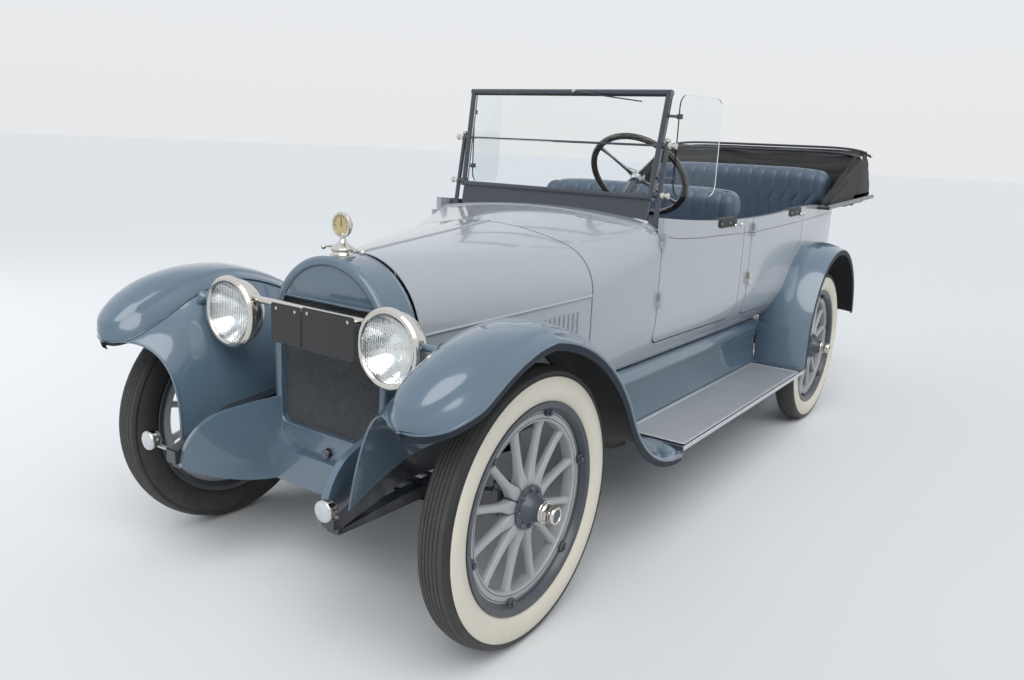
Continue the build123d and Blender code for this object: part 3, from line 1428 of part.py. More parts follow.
iron_sheet = 8
with BuildPart() as top_irons:
    for side in (-1, 1):
        run = Vector(0, iron_knob[0] - iron_pivot[0], iron_knob[1] - iron_pivot[1])
        pivot = (side * (top_outer_x + seat_gap), at(iron_pivot[0]), iron_pivot[1])
        bar = Plane(origin=pivot, x_dir=run, z_dir=(side, 0, 0))
        with BuildSketch(bar):
            with Locations((run.length / 2, 0)):
                SlotOverall(run.length + 30, 26)
        extrude(amount=iron_sheet)
        with BuildSketch(Plane.YZ.offset(side * 621.5)):
            with Locations((at(iron_pivot[0]), iron_pivot[1] - 4)):
                Circle(11)
        extrude(amount=side * (top_outer_x + iron_sheet + 8 - 621.5))
    # Rests under the folded top, from the back of the body
    with BuildSketch(Plane.XZ.offset(-at(body_rear + seat_gap))):
        with Locations((-420, 1190), (420, 1190)):
            Rectangle(40, 67)
    extrude(amount=-420)
    loft([body_section(*row, -seat_gap, floor_z) for row in body_table], mode=Mode.SUBTRACT)
top_irons.part.label = "top_irons"
export_step(top_irons.part, "parts/top_irons.step")

# Spare wheel on its carrier behind the body
spare_station = 3690
spare_z = 760
spare_plane = Plane(origin=(0, at(spare_station), spare_z), x_dir=(1, 0, 0), z_dir=(0, 0, 1))
spare_axis = Axis((0, at(spare_station), spare_z), (0, 1, 0))
with BuildPart() as spare_tyre:
    with BuildSketch(spare_plane):
        with BuildLine():
            base = tyre_bead_radius
            shoulder = tyre_radius - tread_edge_drop
            bulge = (base + tyre_radius) / 2
            Line((base, -bead_half_width), (base, bead_half_width))
            ThreePointArc((base, bead_half_width), (bulge, tyre_half_width), (shoulder, tread_half_width))
            ThreePointArc((shoulder, tread_half_width), (tyre_radius, 0), (shoulder, -tread_half_width))
            ThreePointArc((shoulder, -tread_half_width), (bulge, -tyre_half_width), (base, -bead_half_width))
        make_face()
    revolve(axis=spare_axis)
spare_tyre.part.label = "spare_tyre"
export_step(spare_tyre.part, "parts/spare_tyre.step")

carrier_width = 60
carrier_station = 3590
carrier_bar_z = frame_low + 80
with BuildPart() as spare_wheel:
    with BuildSketch(spare_plane):
        with Locations(((rim_inner_radius + tyre_bead_radius - seat_gap) / 2, 0)):
            Rectangle(tyre_bead_radius - seat_gap - rim_inner_radius, 2 * felloe_half_width)
    revolve(axis=spare_axis)
    # A cross in the rim on a hub and stem, and a bar to the rails
    with BuildSketch(Plane.XZ.offset(-at(spare_station - 12))):
        with Locations((0, spare_z)):
            Rectangle(2 * rim_inner_radius + 10, carrier_width)
            Rectangle(carrier_width, 2 * rim_inner_radius + 10)
            Circle(90)
    extrude(amount=-24)
    with BuildSketch(Plane.XZ.offset(-at(carrier_station))):
        with Locations((0, spare_z)):
            Circle(60)
    extrude(amount=-(spare_station - carrier_station))
    with BuildSketch(Plane.XZ.offset(-at(carrier_station))):
        with Locations((0, (carrier_bar_z + spare_z) / 2)):
            Rectangle(80, spare_z - carrier_bar_z + 40)
    extrude(amount=-24)
    with BuildSketch(Plane.XZ.offset(-at(frame_end + seat_gap))):
        with Locations((0, carrier_bar_z)):
            Rectangle(2 * rail_x + rail_width, 40)
    extrude(amount=-30)
    with BuildSketch(Plane.XZ.offset(-at(frame_end + seat_gap))):
        with Locations((0, carrier_bar_z)):
            Rectangle(80, 40)
    extrude(amount=-(carrier_station - frame_end + 24 - seat_gap))
spare_wheel.part.label = "spare_wheel"
export_step(spare_wheel.part, "parts/spare_wheel.step")

# Fuel tank between the rear rails, and the exhaust
tank_radius = 120
tank_half = 296
tank_station = 3350
tank_z = 505
with BuildPart() as fuel_tank:
    with Locations((0, at(tank_station), tank_z)):
        Cylinder(tank_radius, 2 * tank_half, rotation=(0, 90, 0))
    with Locations((0, at(tank_station), frame_low + 100)):
        Box(2 * (rail_x - rail_width / 2 - seat_gap), 44, 30)
fuel_tank.part.label = "fuel_tank"
export_step(fuel_tank.part, "parts/fuel_tank.step")

pipe_x = -205
pipe_radius = 22
pipe_z = 425
muffler_radius = 62
with BuildPart() as exhaust:
    with BuildSketch(Plane.YZ.offset(-(engine_half_width + seat_gap))):
        with Locations((at(480), 560)):
            Circle(30)
    extrude(amount=pipe_x + engine_half_width - pipe_radius)
    with BuildLine(Plane.YZ.offset(pipe_x)) as path:
        FilletPolyline((at(480), 560), (at(480), pipe_z), (at(2720), pipe_z), radius=60)
    with BuildSketch(Plane(origin=path.line @ 0, z_dir=path.line % 0)):
        Circle(pipe_radius)
    sweep(path=path.line)
    with BuildSketch(Plane.XZ.offset(-at(1640))):
        with Locations((pipe_x, pipe_z)):
            Circle(muffler_radius)
    extrude(amount=-560)
    with BuildSketch(Plane.XY.offset(pipe_z)):
        with Locations((pipe_x, at(2280))):
            Rectangle(30, 40)
    extrude(amount=rail_top - rail_height + rail_wall - seat_gap - pipe_z)
exhaust.part.label = "exhaust"
export_step(exhaust.part, "parts/exhaust.step")
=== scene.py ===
import math

import bmesh
import bpy
import numpy as np
from mathutils import Matrix, Vector
from mathutils.bvhtree import BVHTree


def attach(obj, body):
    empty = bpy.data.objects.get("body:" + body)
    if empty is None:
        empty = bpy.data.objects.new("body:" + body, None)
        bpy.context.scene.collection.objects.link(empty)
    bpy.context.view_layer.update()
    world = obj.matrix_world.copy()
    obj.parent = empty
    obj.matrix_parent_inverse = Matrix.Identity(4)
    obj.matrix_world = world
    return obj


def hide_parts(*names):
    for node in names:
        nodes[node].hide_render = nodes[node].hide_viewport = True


print("stage 1: load the frame")
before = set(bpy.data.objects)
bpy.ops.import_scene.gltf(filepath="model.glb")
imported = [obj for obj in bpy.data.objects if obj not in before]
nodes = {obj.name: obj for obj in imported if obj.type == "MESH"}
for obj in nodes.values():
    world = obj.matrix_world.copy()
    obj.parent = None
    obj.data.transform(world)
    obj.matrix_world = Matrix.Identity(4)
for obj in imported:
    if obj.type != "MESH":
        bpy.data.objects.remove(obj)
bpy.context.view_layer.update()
mm = 0.001
mergeDistance = 0.01 * mm

carSizes = {"frontAxleY": -1862.0, "track": 1422, "wheelbase": 2997, "tyreRadius": 438}


def at(station):
    # stations are millimetres behind the front axle, as the part's own stations are
    return carSizes["frontAxleY"] + station


print("stage 2: mesh helpers")


def makePiece(name, points, faces, faceSlots=None):
    # points in millimetres, faces as lists of corners; the mesh is kept in metres
    mesh = bpy.data.meshes.new(name)
    mesh.from_pydata((np.asarray(points, float) * mm).tolist(), [], [list(face) for face in faces])
    mesh.update()
    if faceSlots is not None:
        mesh.polygons.foreach_set("material_index", np.asarray(faceSlots, np.int32))
    piece = bpy.data.objects.new(name, mesh)
    bpy.context.scene.collection.objects.link(piece)
    return piece


def gridFaces(rows, columns, closeRows=False, closeColumns=False, flip=False):
    # quads of a rows by columns grid, optionally joined end to end both ways
    rowEnd = rows if closeRows else rows - 1
    columnEnd = columns if closeColumns else columns - 1
    i, j = np.meshgrid(np.arange(rowEnd), np.arange(columnEnd), indexing="ij")
    below, right = (i + 1) % rows, (j + 1) % columns
    quads = np.stack([i * columns + j, i * columns + right, below * columns + right, below * columns + j], -1)
    return quads.reshape(-1, 4)[:, ::-1] if flip else quads.reshape(-1, 4)


def ringFaces(rings, columns, ends=(0, 1), flip=False):
    # walls between closed rings; 1 or -1 closes the first or last ring, one way round or the other
    faces = gridFaces(rings, columns, False, True).tolist()
    for end, first in zip(ends, (0, (rings - 1) * columns)):
        if end:
            faces.append(list(range(first, first + columns))[::end])
    return [face[::-1] for face in faces] if flip else faces


def addTo(parts, points, faces, slot=0):
    # one more point set and its faces, which are numbered from its own first point
    parts.append((np.asarray(points, float).reshape(-1, 3), faces, slot))


def addRings(parts, rings, slot=0, ends=(0, 1)):
    addTo(parts, np.concatenate(rings), ringFaces(len(rings), len(rings[0]), ends), slot)


def joinParts(name, parts):
    # all point sets of a list as one mesh
    starts = np.cumsum([0] + [len(points) for points, _, _ in parts]).tolist()
    faces = [[int(k) + start for k in face] for (_, group, _), start in zip(parts, starts) for face in group]
    slots = [slot for _, group, slot in parts for _ in group]
    return makePiece(name, np.concatenate([points for points, _, _ in parts]), faces, slots)


def weld(piece, sharpAngle=35, turnOut=True):
    # doubles are merged, then the faces are turned outwards, unless they already point the right way
    shape = bmesh.new()
    shape.from_mesh(piece.data)
    bmesh.ops.remove_doubles(shape, verts=shape.verts, dist=mergeDistance)
    if turnOut:
        bmesh.ops.recalc_face_normals(shape, faces=shape.faces)
    shape.to_mesh(piece.data)
    shape.free()
    piece.data.shade_smooth()
    piece.data.set_sharp_from_angle(angle=math.radians(sharpAngle))
    return piece


def dress(piece, body, materials, replaced=()):
    # gives a piece its materials, its body and the nodes it stands for
    for material in materials:
        piece.data.materials.append(material)
    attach(piece, body)
    if replaced:
        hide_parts(*replaced)
    return piece


def finishPiece(name, parts, body, materials, replaced=(), sharpAngle=35):
    return dress(weld(joinParts(name, parts), sharpAngle), body, materials, replaced)


def frameOf(axis):
    # two directions square to the axis
    axis = np.asarray(axis, float) / np.linalg.norm(axis)
    helper = np.array([0.0, 0.0, 1.0]) if abs(axis[2]) < 0.9 else np.array([1.0, 0.0, 0.0])
    first = np.cross(helper, axis)
    first /= np.linalg.norm(first)
    return axis, first, np.cross(axis, first)


def lathe(profile, centre, axis, steps=64, closed=True):
    # each profile point is (distance along the axis, radius), turned once around the axis
    axis, first, second = frameOf(axis)
    profile = np.asarray(profile, float)
    turn = np.linspace(0, 2 * np.pi, steps, endpoint=False)
    ring = np.cos(turn)[:, None] * first + np.sin(turn)[:, None] * second
    points = np.asarray(centre, float) + profile[None, :, 0:1] * axis + profile[None, :, 1:2] * ring[:, None, :]
    return points.reshape(-1, 3), gridFaces(steps, len(profile), True, closed)


def sweepAlong(path, profile, side, closedPath=False):
    # profile points are (across, up); across follows the side vector, up is square to it and to the path
    path = np.asarray(path, float)
    profile = np.asarray(profile, float)
    run = np.roll(path, -1, 0) - np.roll(path, 1, 0) if closedPath else np.gradient(path, axis=0)
    run /= np.linalg.norm(run, axis=1, keepdims=True)
    side = np.broadcast_to(np.asarray(side, float), path.shape)
    across = side - (side * run).sum(1, keepdims=True) * run
    across /= np.linalg.norm(across, axis=1, keepdims=True)
    up = np.cross(across, run)
    if profile.ndim == 2:
        profile = np.broadcast_to(profile, (len(path),) + profile.shape)
    points = path[:, None] + profile[..., 0:1] * across[:, None] + profile[..., 1:2] * up[:, None]
    count = profile.shape[1]
    faces = gridFaces(len(path), count, True, True) if closedPath else ringFaces(len(path), count, (1, -1))
    return points.reshape(-1, 3), faces


def circle(radius, steps=12):
    turn = np.linspace(0, 2 * np.pi, steps, endpoint=False)
    return radius * np.stack([np.cos(turn), np.sin(turn)], 1)


def roundedBox(width, height, corner, steps=5):
    # outline of a rectangle with round corners, centred
    turn = np.linspace(0, np.pi / 2, steps)
    rows = []
    for quarter, (sx, sy) in enumerate(((1, 1), (-1, 1), (-1, -1), (1, -1))):
        angle = turn + quarter * np.pi / 2
        x = sx * (width / 2 - corner) + corner * np.cos(angle)
        rows.append(np.stack([x, sy * (height / 2 - corner) + corner * np.sin(angle)], 1))
    return np.concatenate(rows)


def smoothLine(corners, steps=8):
    # Catmull-Rom curve through the corners, evenly divided between each two
    corners = np.asarray(corners, float)
    padded = np.concatenate([2 * corners[:1] - corners[1:2], corners, 2 * corners[-1:] - corners[-2:-1]])
    t = np.linspace(0, 1, steps, endpoint=False)[:, None]
    p0, p1, p2, p3 = (padded[k:len(padded) - 3 + k][:, None] for k in range(4))
    curve = 0.5 * (2 * p1 + (p2 - p0) * t + (2 * p0 - 5 * p1 + 4 * p2 - p3) * t ** 2
                   + (3 * p1 - p0 - 3 * p2 + p3) * t ** 3)
    return np.concatenate([curve.reshape(-1, corners.shape[1]), corners[-1:]])


def atStation(outline, station):
    # a flat outline of (x, z) stood upright at one station
    outline = np.asarray(outline, float)
    return np.column_stack([outline[:, 0], np.full(len(outline), at(station)), outline[:, 1]])


def bar(parts, start, end, radius, steps=12, slot=0):
    # round rod between two points
    start, end = np.asarray(start, float), np.asarray(end, float)
    addTo(parts, *sweepAlong([start, end], circle(radius, steps), frameOf(end - start)[1]), slot)


def prism(parts, corners, push, slot=0):
    # a flat outline and its copy moved by push, with walls between them
    corners = np.asarray(corners, float)
    addRings(parts, [corners, corners + np.asarray(push, float)], slot, (-1, 1))


print("stage 3: materials")


def addNode(tree, kind, inputs=(), **settings):
    # a node with its settings; each input is linked from a socket or set to a value
    node = tree.nodes.new("ShaderNode" + kind)
    for name, value in settings.items():
        setattr(node, name, value)
    for key, value in dict(inputs).items():
        if isinstance(value, bpy.types.NodeSocket):
            tree.links.new(value, node.inputs[key])
        else:
            node.inputs[key].default_value = value
    return node


def newGroup(name, inputs, outputs):
    # inputs by name: None is a vector, three numbers are a colour, one is a value
    group = bpy.data.node_groups.new(name, "ShaderNodeTree")
    for label, value in inputs.items():
        kind = "Vector" if value is None else "Color" if isinstance(value, tuple) else "Float"
        socket = group.interface.new_socket(label, in_out="INPUT", socket_type="NodeSocket" + kind)
        if value is not None:
            socket.default_value = (*value, 1) if kind == "Color" else value
    for label in outputs:
        kind = "Color" if label == "Color" else "Float"
        group.interface.new_socket(label, in_out="OUTPUT", socket_type="NodeSocket" + kind)
    return group, group.nodes.new("NodeGroupInput").outputs


def closeGroup(group, results):
    sink = group.nodes.new("NodeGroupOutput")
    for label, socket in results.items():
        group.links.new(socket, sink.inputs[label])
    return group


def mixColours(tree, factor, first, second):
    return addNode(tree, "Mix", {"Factor": factor, "A": first, "B": second}, data_type="RGBA").outputs["Result"]


def multiply(tree, first, second):
    return addNode(tree, "Math", {0: first, 1: second}, operation="MULTIPLY").outputs["Value"]


def makeGrainGroup():
    # two sizes of noise: a colour that drifts between two values, a roughness and a height
    inputs = {"Vector": None, "Colour A": (0.5, 0.5, 0.5), "Colour B": (0.4, 0.4, 0.4), "Broad Scale": 4.0,
              "Fine Scale": 200.0, "Rough Low": 0.3, "Rough High": 0.5}
    group, given = newGroup("surfaceGrain", inputs, ("Color", "Roughness", "Height"))
    noises = [
        addNode(group, "TexNoise", {"Vector": given["Vector"], "Scale": given[scale], "Detail": detail})
        for scale, detail in (("Broad Scale", 3), ("Fine Scale", 2))
    ]
    broad, fine = (noise.outputs["Fac"] for noise in noises)
    span = addNode(group, "MapRange", {"Value": broad, "To Min": given["Rough Low"], "To Max": given["Rough High"]})
    colour = mixColours(group, broad, given["Colour A"], given["Colour B"])
    return closeGroup(group, {"Color": colour, "Roughness": span.outputs["Result"], "Height": fine})


def makeDustGroup():
    # a mask that grows low down on the car, broken up by noise, and the colour with dust on it
    inputs = {"Color": (0.5, 0.5, 0.5), "Dust": (0.3, 0.29, 0.27), "Amount": 0.3, "Low Height": 0.0,
              "High Height": 0.6}
    group, given = newGroup("settledDust", inputs, ("Color", "Mask"))
    place = addNode(group, "TexCoord").outputs["Object"]
    split = addNode(group, "SeparateXYZ", {"Vector": place})
    height = addNode(group, "MapRange", {"Value": split.outputs["Z"], "From Min": given["Low Height"],
                                         "From Max": given["High Height"], "To Min": 1, "To Max": 0})
    noise = addNode(group, "TexNoise", {"Vector": place, "Scale": 22, "Detail": 4})
    mask = multiply(group, multiply(group, height.outputs["Result"], noise.outputs["Fac"]), given["Amount"])
    return closeGroup(group, {"Color": mixColours(group, mask, given["Color"], given["Dust"]), "Mask": mask})


def makeCellGroup():
    # leather: dark creases between small cells, with a finer noise over them
    inputs = {"Vector": None, "Scale": 300.0, "Color": (0.1, 0.1, 0.1), "Crease": (0.02, 0.02, 0.02)}
    group, given = newGroup("leatherCells", inputs, ("Color", "Height"))
    cells = addNode(group, "TexVoronoi", {"Vector": given["Vector"], "Scale": given["Scale"]},
                    feature="DISTANCE_TO_EDGE")
    noise = addNode(group, "TexNoise", {"Vector": given["Vector"], "Scale": 900})
    span = addNode(group, "MapRange", {"Value": cells.outputs["Distance"], "From Max": 0.16}).outputs["Result"]
    total = addNode(group, "Math", {0: noise.outputs["Fac"], 1: 0.3, 2: span}, operation="MULTIPLY_ADD")
    colour = mixColours(group, span, given["Crease"], given["Color"])
    return closeGroup(group, {"Color": colour, "Height": total.outputs["Value"]})


def makeWeaveGroup():
    # plain weave: two sets of bands across each other
    inputs = {"Vector": None, "Scale": 260.0, "Color": (0.1, 0.1, 0.1), "Gap": (0.02, 0.02, 0.02)}
    group, given = newGroup("clothWeave", inputs, ("Color", "Height"))
    across, along = (
        addNode(group, "TexWave", {"Vector": given["Vector"], "Scale": given["Scale"], "Distortion": 0.6},
                bands_direction=direction).outputs["Fac"]
        for direction in ("X", "Z")
    )
    both = multiply(group, across, along)
    return closeGroup(group, {"Color": mixColours(group, both, given["Gap"], given["Color"]), "Height": both})


grainGroup = makeGrainGroup()
dustGroup = makeDustGroup()
cellGroup = makeCellGroup()
weaveGroup = makeWeaveGroup()


def newMaterial(name):
    material = bpy.data.materials.new(name)
    material.use_nodes = True
    return material, material.node_tree, material.node_tree.nodes["Principled BSDF"]


def finishShader(tree, shader, colour, rough, height, bump, values):
    # what changes over the surface is linked, and what doesn't is set on the shader's own sockets
    tree.links.new(colour, shader.inputs["Base Color"])
    tree.links.new(rough, shader.inputs["Roughness"])
    if bump:
        raised = addNode(tree, "Bump", {"Strength": 1.0, "Distance": bump * mm, "Height": height})
        tree.links.new(raised.outputs["Normal"], shader.inputs["Normal"])
    for label, value in values.items():
        shader.inputs[label].default_value = value


def paintLike(name, colourA, colourB, rough, metallic=0.0, coat=0.0, coatRough=0.04, broad=3.0, fine=300.0,
              bump=0.02, dust=0.0, dustColour=(0.24, 0.22, 0.2), dustTop=0.6, specular=0.5, stretch=(1, 1, 1)):
    material, tree, shader = newMaterial(name)
    place = addNode(tree, "TexCoord").outputs["Object"]
    mapping = addNode(tree, "Mapping", {"Vector": place, "Scale": stretch})
    grain = addNode(tree, "Group", node_tree=grainGroup, inputs={
        "Vector": mapping.outputs["Vector"], "Colour A": (*colourA, 1), "Colour B": (*colourB, 1),
        "Broad Scale": broad, "Fine Scale": fine, "Rough Low": rough[0], "Rough High": rough[1],
    }).outputs
    colour = grain["Color"]
    if dust:
        colour = addNode(tree, "Group", node_tree=dustGroup, inputs={
            "Color": colour, "Dust": (*dustColour, 1), "Amount": dust, "High Height": dustTop,
        }).outputs["Color"]
    finishShader(tree, shader, colour, grain["Roughness"], grain["Height"], bump, {
        "Metallic": metallic, "Coat Weight": coat, "Coat Roughness": coatRough, "Specular IOR Level": specular,
    })
    return material


bodyPaint = paintLike("bodyPaint", (0.41, 0.435, 0.45), (0.385, 0.41, 0.426), (0.22, 0.3), coat=0.9, coatRough=0.05,
                      broad=1.6, fine=420, bump=0.015, dust=0.12)
fenderPaint = paintLike("fenderPaint", (0.112, 0.168, 0.222), (0.1, 0.152, 0.203), (0.2, 0.28), coat=1.0,
                        coatRough=0.04, broad=1.8, fine=420, bump=0.015, dust=0.2)
underBlack = paintLike("underBlack", (0.02, 0.021, 0.023), (0.035, 0.034, 0.034), (0.5, 0.7), broad=9, fine=180,
                       bump=0.2, dust=0.35, dustTop=0.9)
# dark brown line colour: painted shadow under the belt crease
creaseShadowBrown = paintLike("creaseShadowBrown", (0.1, 0.062, 0.058), (0.075, 0.048, 0.046), (0.35, 0.5), broad=20, fine=300,
                      bump=0.01)
# fender paint darkened: painted shade on the turned-down flanges, which face away from the light
flangePaintedShade = paintLike("flangePaintedShade", (0.02, 0.029, 0.042), (0.012, 0.018, 0.027), (0.5, 0.66), broad=6, fine=300,
                        bump=0.03, specular=0.25)
blackEnamel = paintLike("blackEnamel", (0.018, 0.02, 0.025), (0.028, 0.03, 0.036), (0.22, 0.36), coat=0.6,
                        coatRough=0.12, broad=5, fine=260, bump=0.03, dust=0.25)
frameEnamel = paintLike("frameEnamel", (0.022, 0.03, 0.045), (0.03, 0.038, 0.055), (0.18, 0.3), coat=0.8,
                        coatRough=0.08, broad=5, fine=260, bump=0.02)
nickelPlate = paintLike("nickelPlate", (0.72, 0.68, 0.62), (0.62, 0.59, 0.54), (0.1, 0.2), metallic=1.0, broad=14,
                        fine=380, bump=0.01)
dullSteel = paintLike("dullSteel", (0.3, 0.3, 0.31), (0.2, 0.2, 0.21), (0.35, 0.55), metallic=1.0, broad=18,
                      fine=300, bump=0.06, dust=0.3)
castGrey = paintLike("castGrey", (0.06, 0.062, 0.066), (0.04, 0.041, 0.044), (0.55, 0.75), metallic=0.3, broad=12,
                     fine=140, bump=0.3, dust=0.2)
tyreRubber = paintLike("tyreRubber", (0.021, 0.021, 0.022), (0.036, 0.035, 0.034), (0.55, 0.72), broad=16, fine=220,
                       bump=0.12, dust=0.35, dustTop=0.5, specular=0.35)
treadRubber = paintLike("treadRubber", (0.075, 0.073, 0.07), (0.05, 0.049, 0.047), (0.7, 0.85), broad=30, fine=260,
                        bump=0.2, dust=0.3, specular=0.25)
whiteRubber = paintLike("whiteRubber", (0.74, 0.69, 0.58), (0.66, 0.61, 0.5), (0.42, 0.55), broad=7, fine=160,
                        bump=0.06, dust=0.25, dustColour=(0.4, 0.36, 0.28), dustTop=0.25, specular=0.35)
wheelPaint = paintLike("wheelPaint", (0.42, 0.425, 0.43), (0.36, 0.365, 0.37), (0.34, 0.46), coat=0.3, coatRough=0.2,
                       broad=9, fine=160, bump=0.05, dust=0.15)
hubPaint = paintLike("hubPaint", (0.075, 0.088, 0.108), (0.06, 0.07, 0.088), (0.35, 0.5), coat=0.3, coatRough=0.2,
                     broad=20, fine=300, bump=0.05)
darkWood = paintLike("darkWood", (0.038, 0.02, 0.013), (0.02, 0.011, 0.008), (0.16, 0.26), coat=0.8, coatRough=0.06,
                     broad=40, fine=500, bump=0.02, stretch=(1, 0.3, 1))
rimEnamel = paintLike("rimEnamel", (0.038, 0.046, 0.06), (0.028, 0.034, 0.045), (0.3, 0.45), coat=0.3, coatRough=0.2,
                      broad=18, fine=260, bump=0.05, dust=0.3, dustTop=0.5)
coreMetal = paintLike("coreMetal", (0.34, 0.35, 0.36), (0.2, 0.205, 0.21), (0.4, 0.6), metallic=0.35, broad=30,
                      fine=300, bump=0.05, dust=0.2, dustTop=1.0)
mirrorSilver = paintLike("mirrorSilver", (0.86, 0.86, 0.85), (0.8, 0.8, 0.79), (0.04, 0.09), metallic=1.0, broad=10,
                         bump=0.004)
plateEnamel = paintLike("plateEnamel", (0.012, 0.012, 0.013), (0.02, 0.02, 0.02), (0.34, 0.46), coat=0.12, broad=14,
                        fine=400, bump=0.02)
dialYellow = paintLike("dialYellow", (0.62, 0.5, 0.22), (0.52, 0.41, 0.18), (0.3, 0.4), coat=0.6, broad=30, bump=0.01)
boardLino = paintLike("boardLino", (0.33, 0.345, 0.36), (0.27, 0.285, 0.3), (0.42, 0.58), broad=9, fine=130,
                      bump=0.12, dust=0.2, dustTop=0.8)
boardEdge = paintLike("boardEdge", (0.66, 0.67, 0.69), (0.55, 0.56, 0.58), (0.3, 0.42), metallic=0.55, broad=20,
                      bump=0.03)
aluminium = paintLike("aluminium", (0.6, 0.6, 0.61), (0.5, 0.5, 0.51), (0.25, 0.38), metallic=1.0, broad=20,
                      bump=0.04)


def hideLike(name, group, colour, second, rough, scale, bump, sheen=0.0, coat=0.0):
    # leather or cloth: a cell or weave group over the drifting colour
    material, tree, shader = newMaterial(name)
    place = addNode(tree, "TexCoord").outputs["Object"]
    grain = addNode(tree, "Group", node_tree=grainGroup, inputs={
        "Vector": place, "Colour A": (*colour, 1), "Colour B": (*(0.72 * c for c in colour), 1),
        "Broad Scale": 11, "Rough Low": rough[0], "Rough High": rough[1],
    }).outputs
    gap = "Crease" if group == cellGroup else "Gap"
    fine = addNode(tree, "Group", node_tree=group, inputs={
        "Vector": place, "Scale": scale, "Color": grain["Color"], gap: (*second, 1),
    }).outputs
    finishShader(tree, shader, fine["Color"], grain["Roughness"], fine["Height"], bump,
                 {"Sheen Weight": sheen, "Coat Weight": coat})
    return material


seatLeather = hideLike("seatLeather", cellGroup, (0.088, 0.128, 0.185), (0.04, 0.06, 0.092), (0.34, 0.48), 260, 0.25,
                       coat=0.15)
pipingLeather = hideLike("pipingLeather", cellGroup, (0.33, 0.37, 0.43), (0.2, 0.23, 0.27), (0.35, 0.5), 320, 0.15)
armLeather = hideLike("armLeather", cellGroup, (0.014, 0.014, 0.016), (0.006, 0.006, 0.007), (0.4, 0.55), 320, 0.2)
topCloth = hideLike("topCloth", weaveGroup, (0.0115, 0.011, 0.011), (0.004, 0.004, 0.004), (0.7, 0.85), 150, 0.35,
                    sheen=0.06)


def glassLike(name, tint, rough, ior, bump=0.0):
    # clear glass with a trace of colour, and a little unevenness where it is pressed
    material, tree, shader = newMaterial(name)
    grain = addNode(tree, "Group", node_tree=grainGroup, inputs={
        "Vector": addNode(tree, "TexCoord").outputs["Object"], "Colour A": (*tint, 1),
        "Colour B": (*(min(1, 1.02 * c) for c in tint), 1), "Fine Scale": 40, "Rough Low": rough,
        "Rough High": rough + 0.015,
    }).outputs
    finishShader(tree, shader, grain["Color"], grain["Roughness"], grain["Height"], bump,
                 {"Transmission Weight": 1.0, "IOR": ior})
    return material


clearGlass = glassLike("clearGlass", (0.93, 0.96, 0.96), 0.0, 1.2)
lampGlass = glassLike("lampGlass", (0.97, 0.98, 0.98), 0.02, 1.4, 0.2)
bulbGlass = glassLike("bulbGlass", (0.97, 0.97, 0.95), 0.05, 1.4)
paleLens = paintLike("paleLens", (0.62, 0.64, 0.66), (0.5, 0.52, 0.54), (0.08, 0.14), coat=1.0, broad=60, fine=200,
                     bump=0.1)

print("stage 4: tyres and wheels")

tyre = {"ribs": 6, "ribSpan": 38, "groove": 3.6, "grooveDepth": 3.4, "crown": 8.5, "shoulder": 44, "steps": 120,
        "white": (330, 407), "whiteFrom": 30}
wheelForm = {
    "spokes": 12, "felloeInner": 264, "felloeOuter": 301, "felloeHalf": 23, "felloeCorner": 7, "stripes": (274, 291),
    "lugs": 6, "lugRadius": 300, "nutRadius": 294, "nutSize": 8.5, "bolts": 8, "boltRadius": 60, "capFlat": 27.5,
    "steps": 120,
    # profiles of rim, hub flange, inner flange, cap ring and cap crown: distance outboard, then radius
    "rim": [(-47, 324), (-48, 328), (-46, 331), (-43, 330), (-42, 322), (-40, 313), (-30, 306), (-24, 303),
            (-24, 300.6), (24, 300.6), (24, 303), (30, 306), (40, 313), (42, 322), (43, 330), (46, 331), (48, 328),
            (47, 324), (45, 311), (34, 302), (26, 298.5), (-26, 298.5), (-34, 302), (-45, 311)],
    "hub": [(22, 40), (22, 68), (24, 70.5), (28, 70.5), (29.5, 69), (29.5, 52), (34, 49), (46, 41), (62, 36),
            (76, 33.5), (80, 33.5), (80, 22), (22, 22)],
    "innerFlange": [(-29, 34), (-29, 72), (-27, 74), (-21, 74), (-21, 34)],
    "capRing": [(78, 20), (78, 35.5), (81, 36.5), (84, 35.5), (85, 33), (90, 33), (92, 31.5), (93, 28), (93, 20)],
    "capCrown": [(112, 29), (115, 29), (120, 28.5), (125, 26.5), (126.6, 24), (126.8, 21.5), (124.5, 20),
                 (124.2, 0.01)],
    "boltDome": [(29, 8), (33, 8), (36, 6), (37.4, 3), (37.8, 0.01)],
    # along the spoke: distance from the axle, half width, half depth, and the power of the oval
    "spoke": [(62, 15.6, 20, 8), (84, 21.2, 20, 6), (96, 19.5, 19, 4), (112, 15.6, 17.5, 3), (135, 13.2, 16, 2.4),
              (170, 12.6, 15, 2.2), (210, 12.2, 14, 2.2), (245, 12.4, 14, 2.4), (262, 14, 16, 3), (270, 15, 18, 4)],
}
drum = {"radius": 165, "near": -30, "far": -77, "wall": 8, "bore": 60}


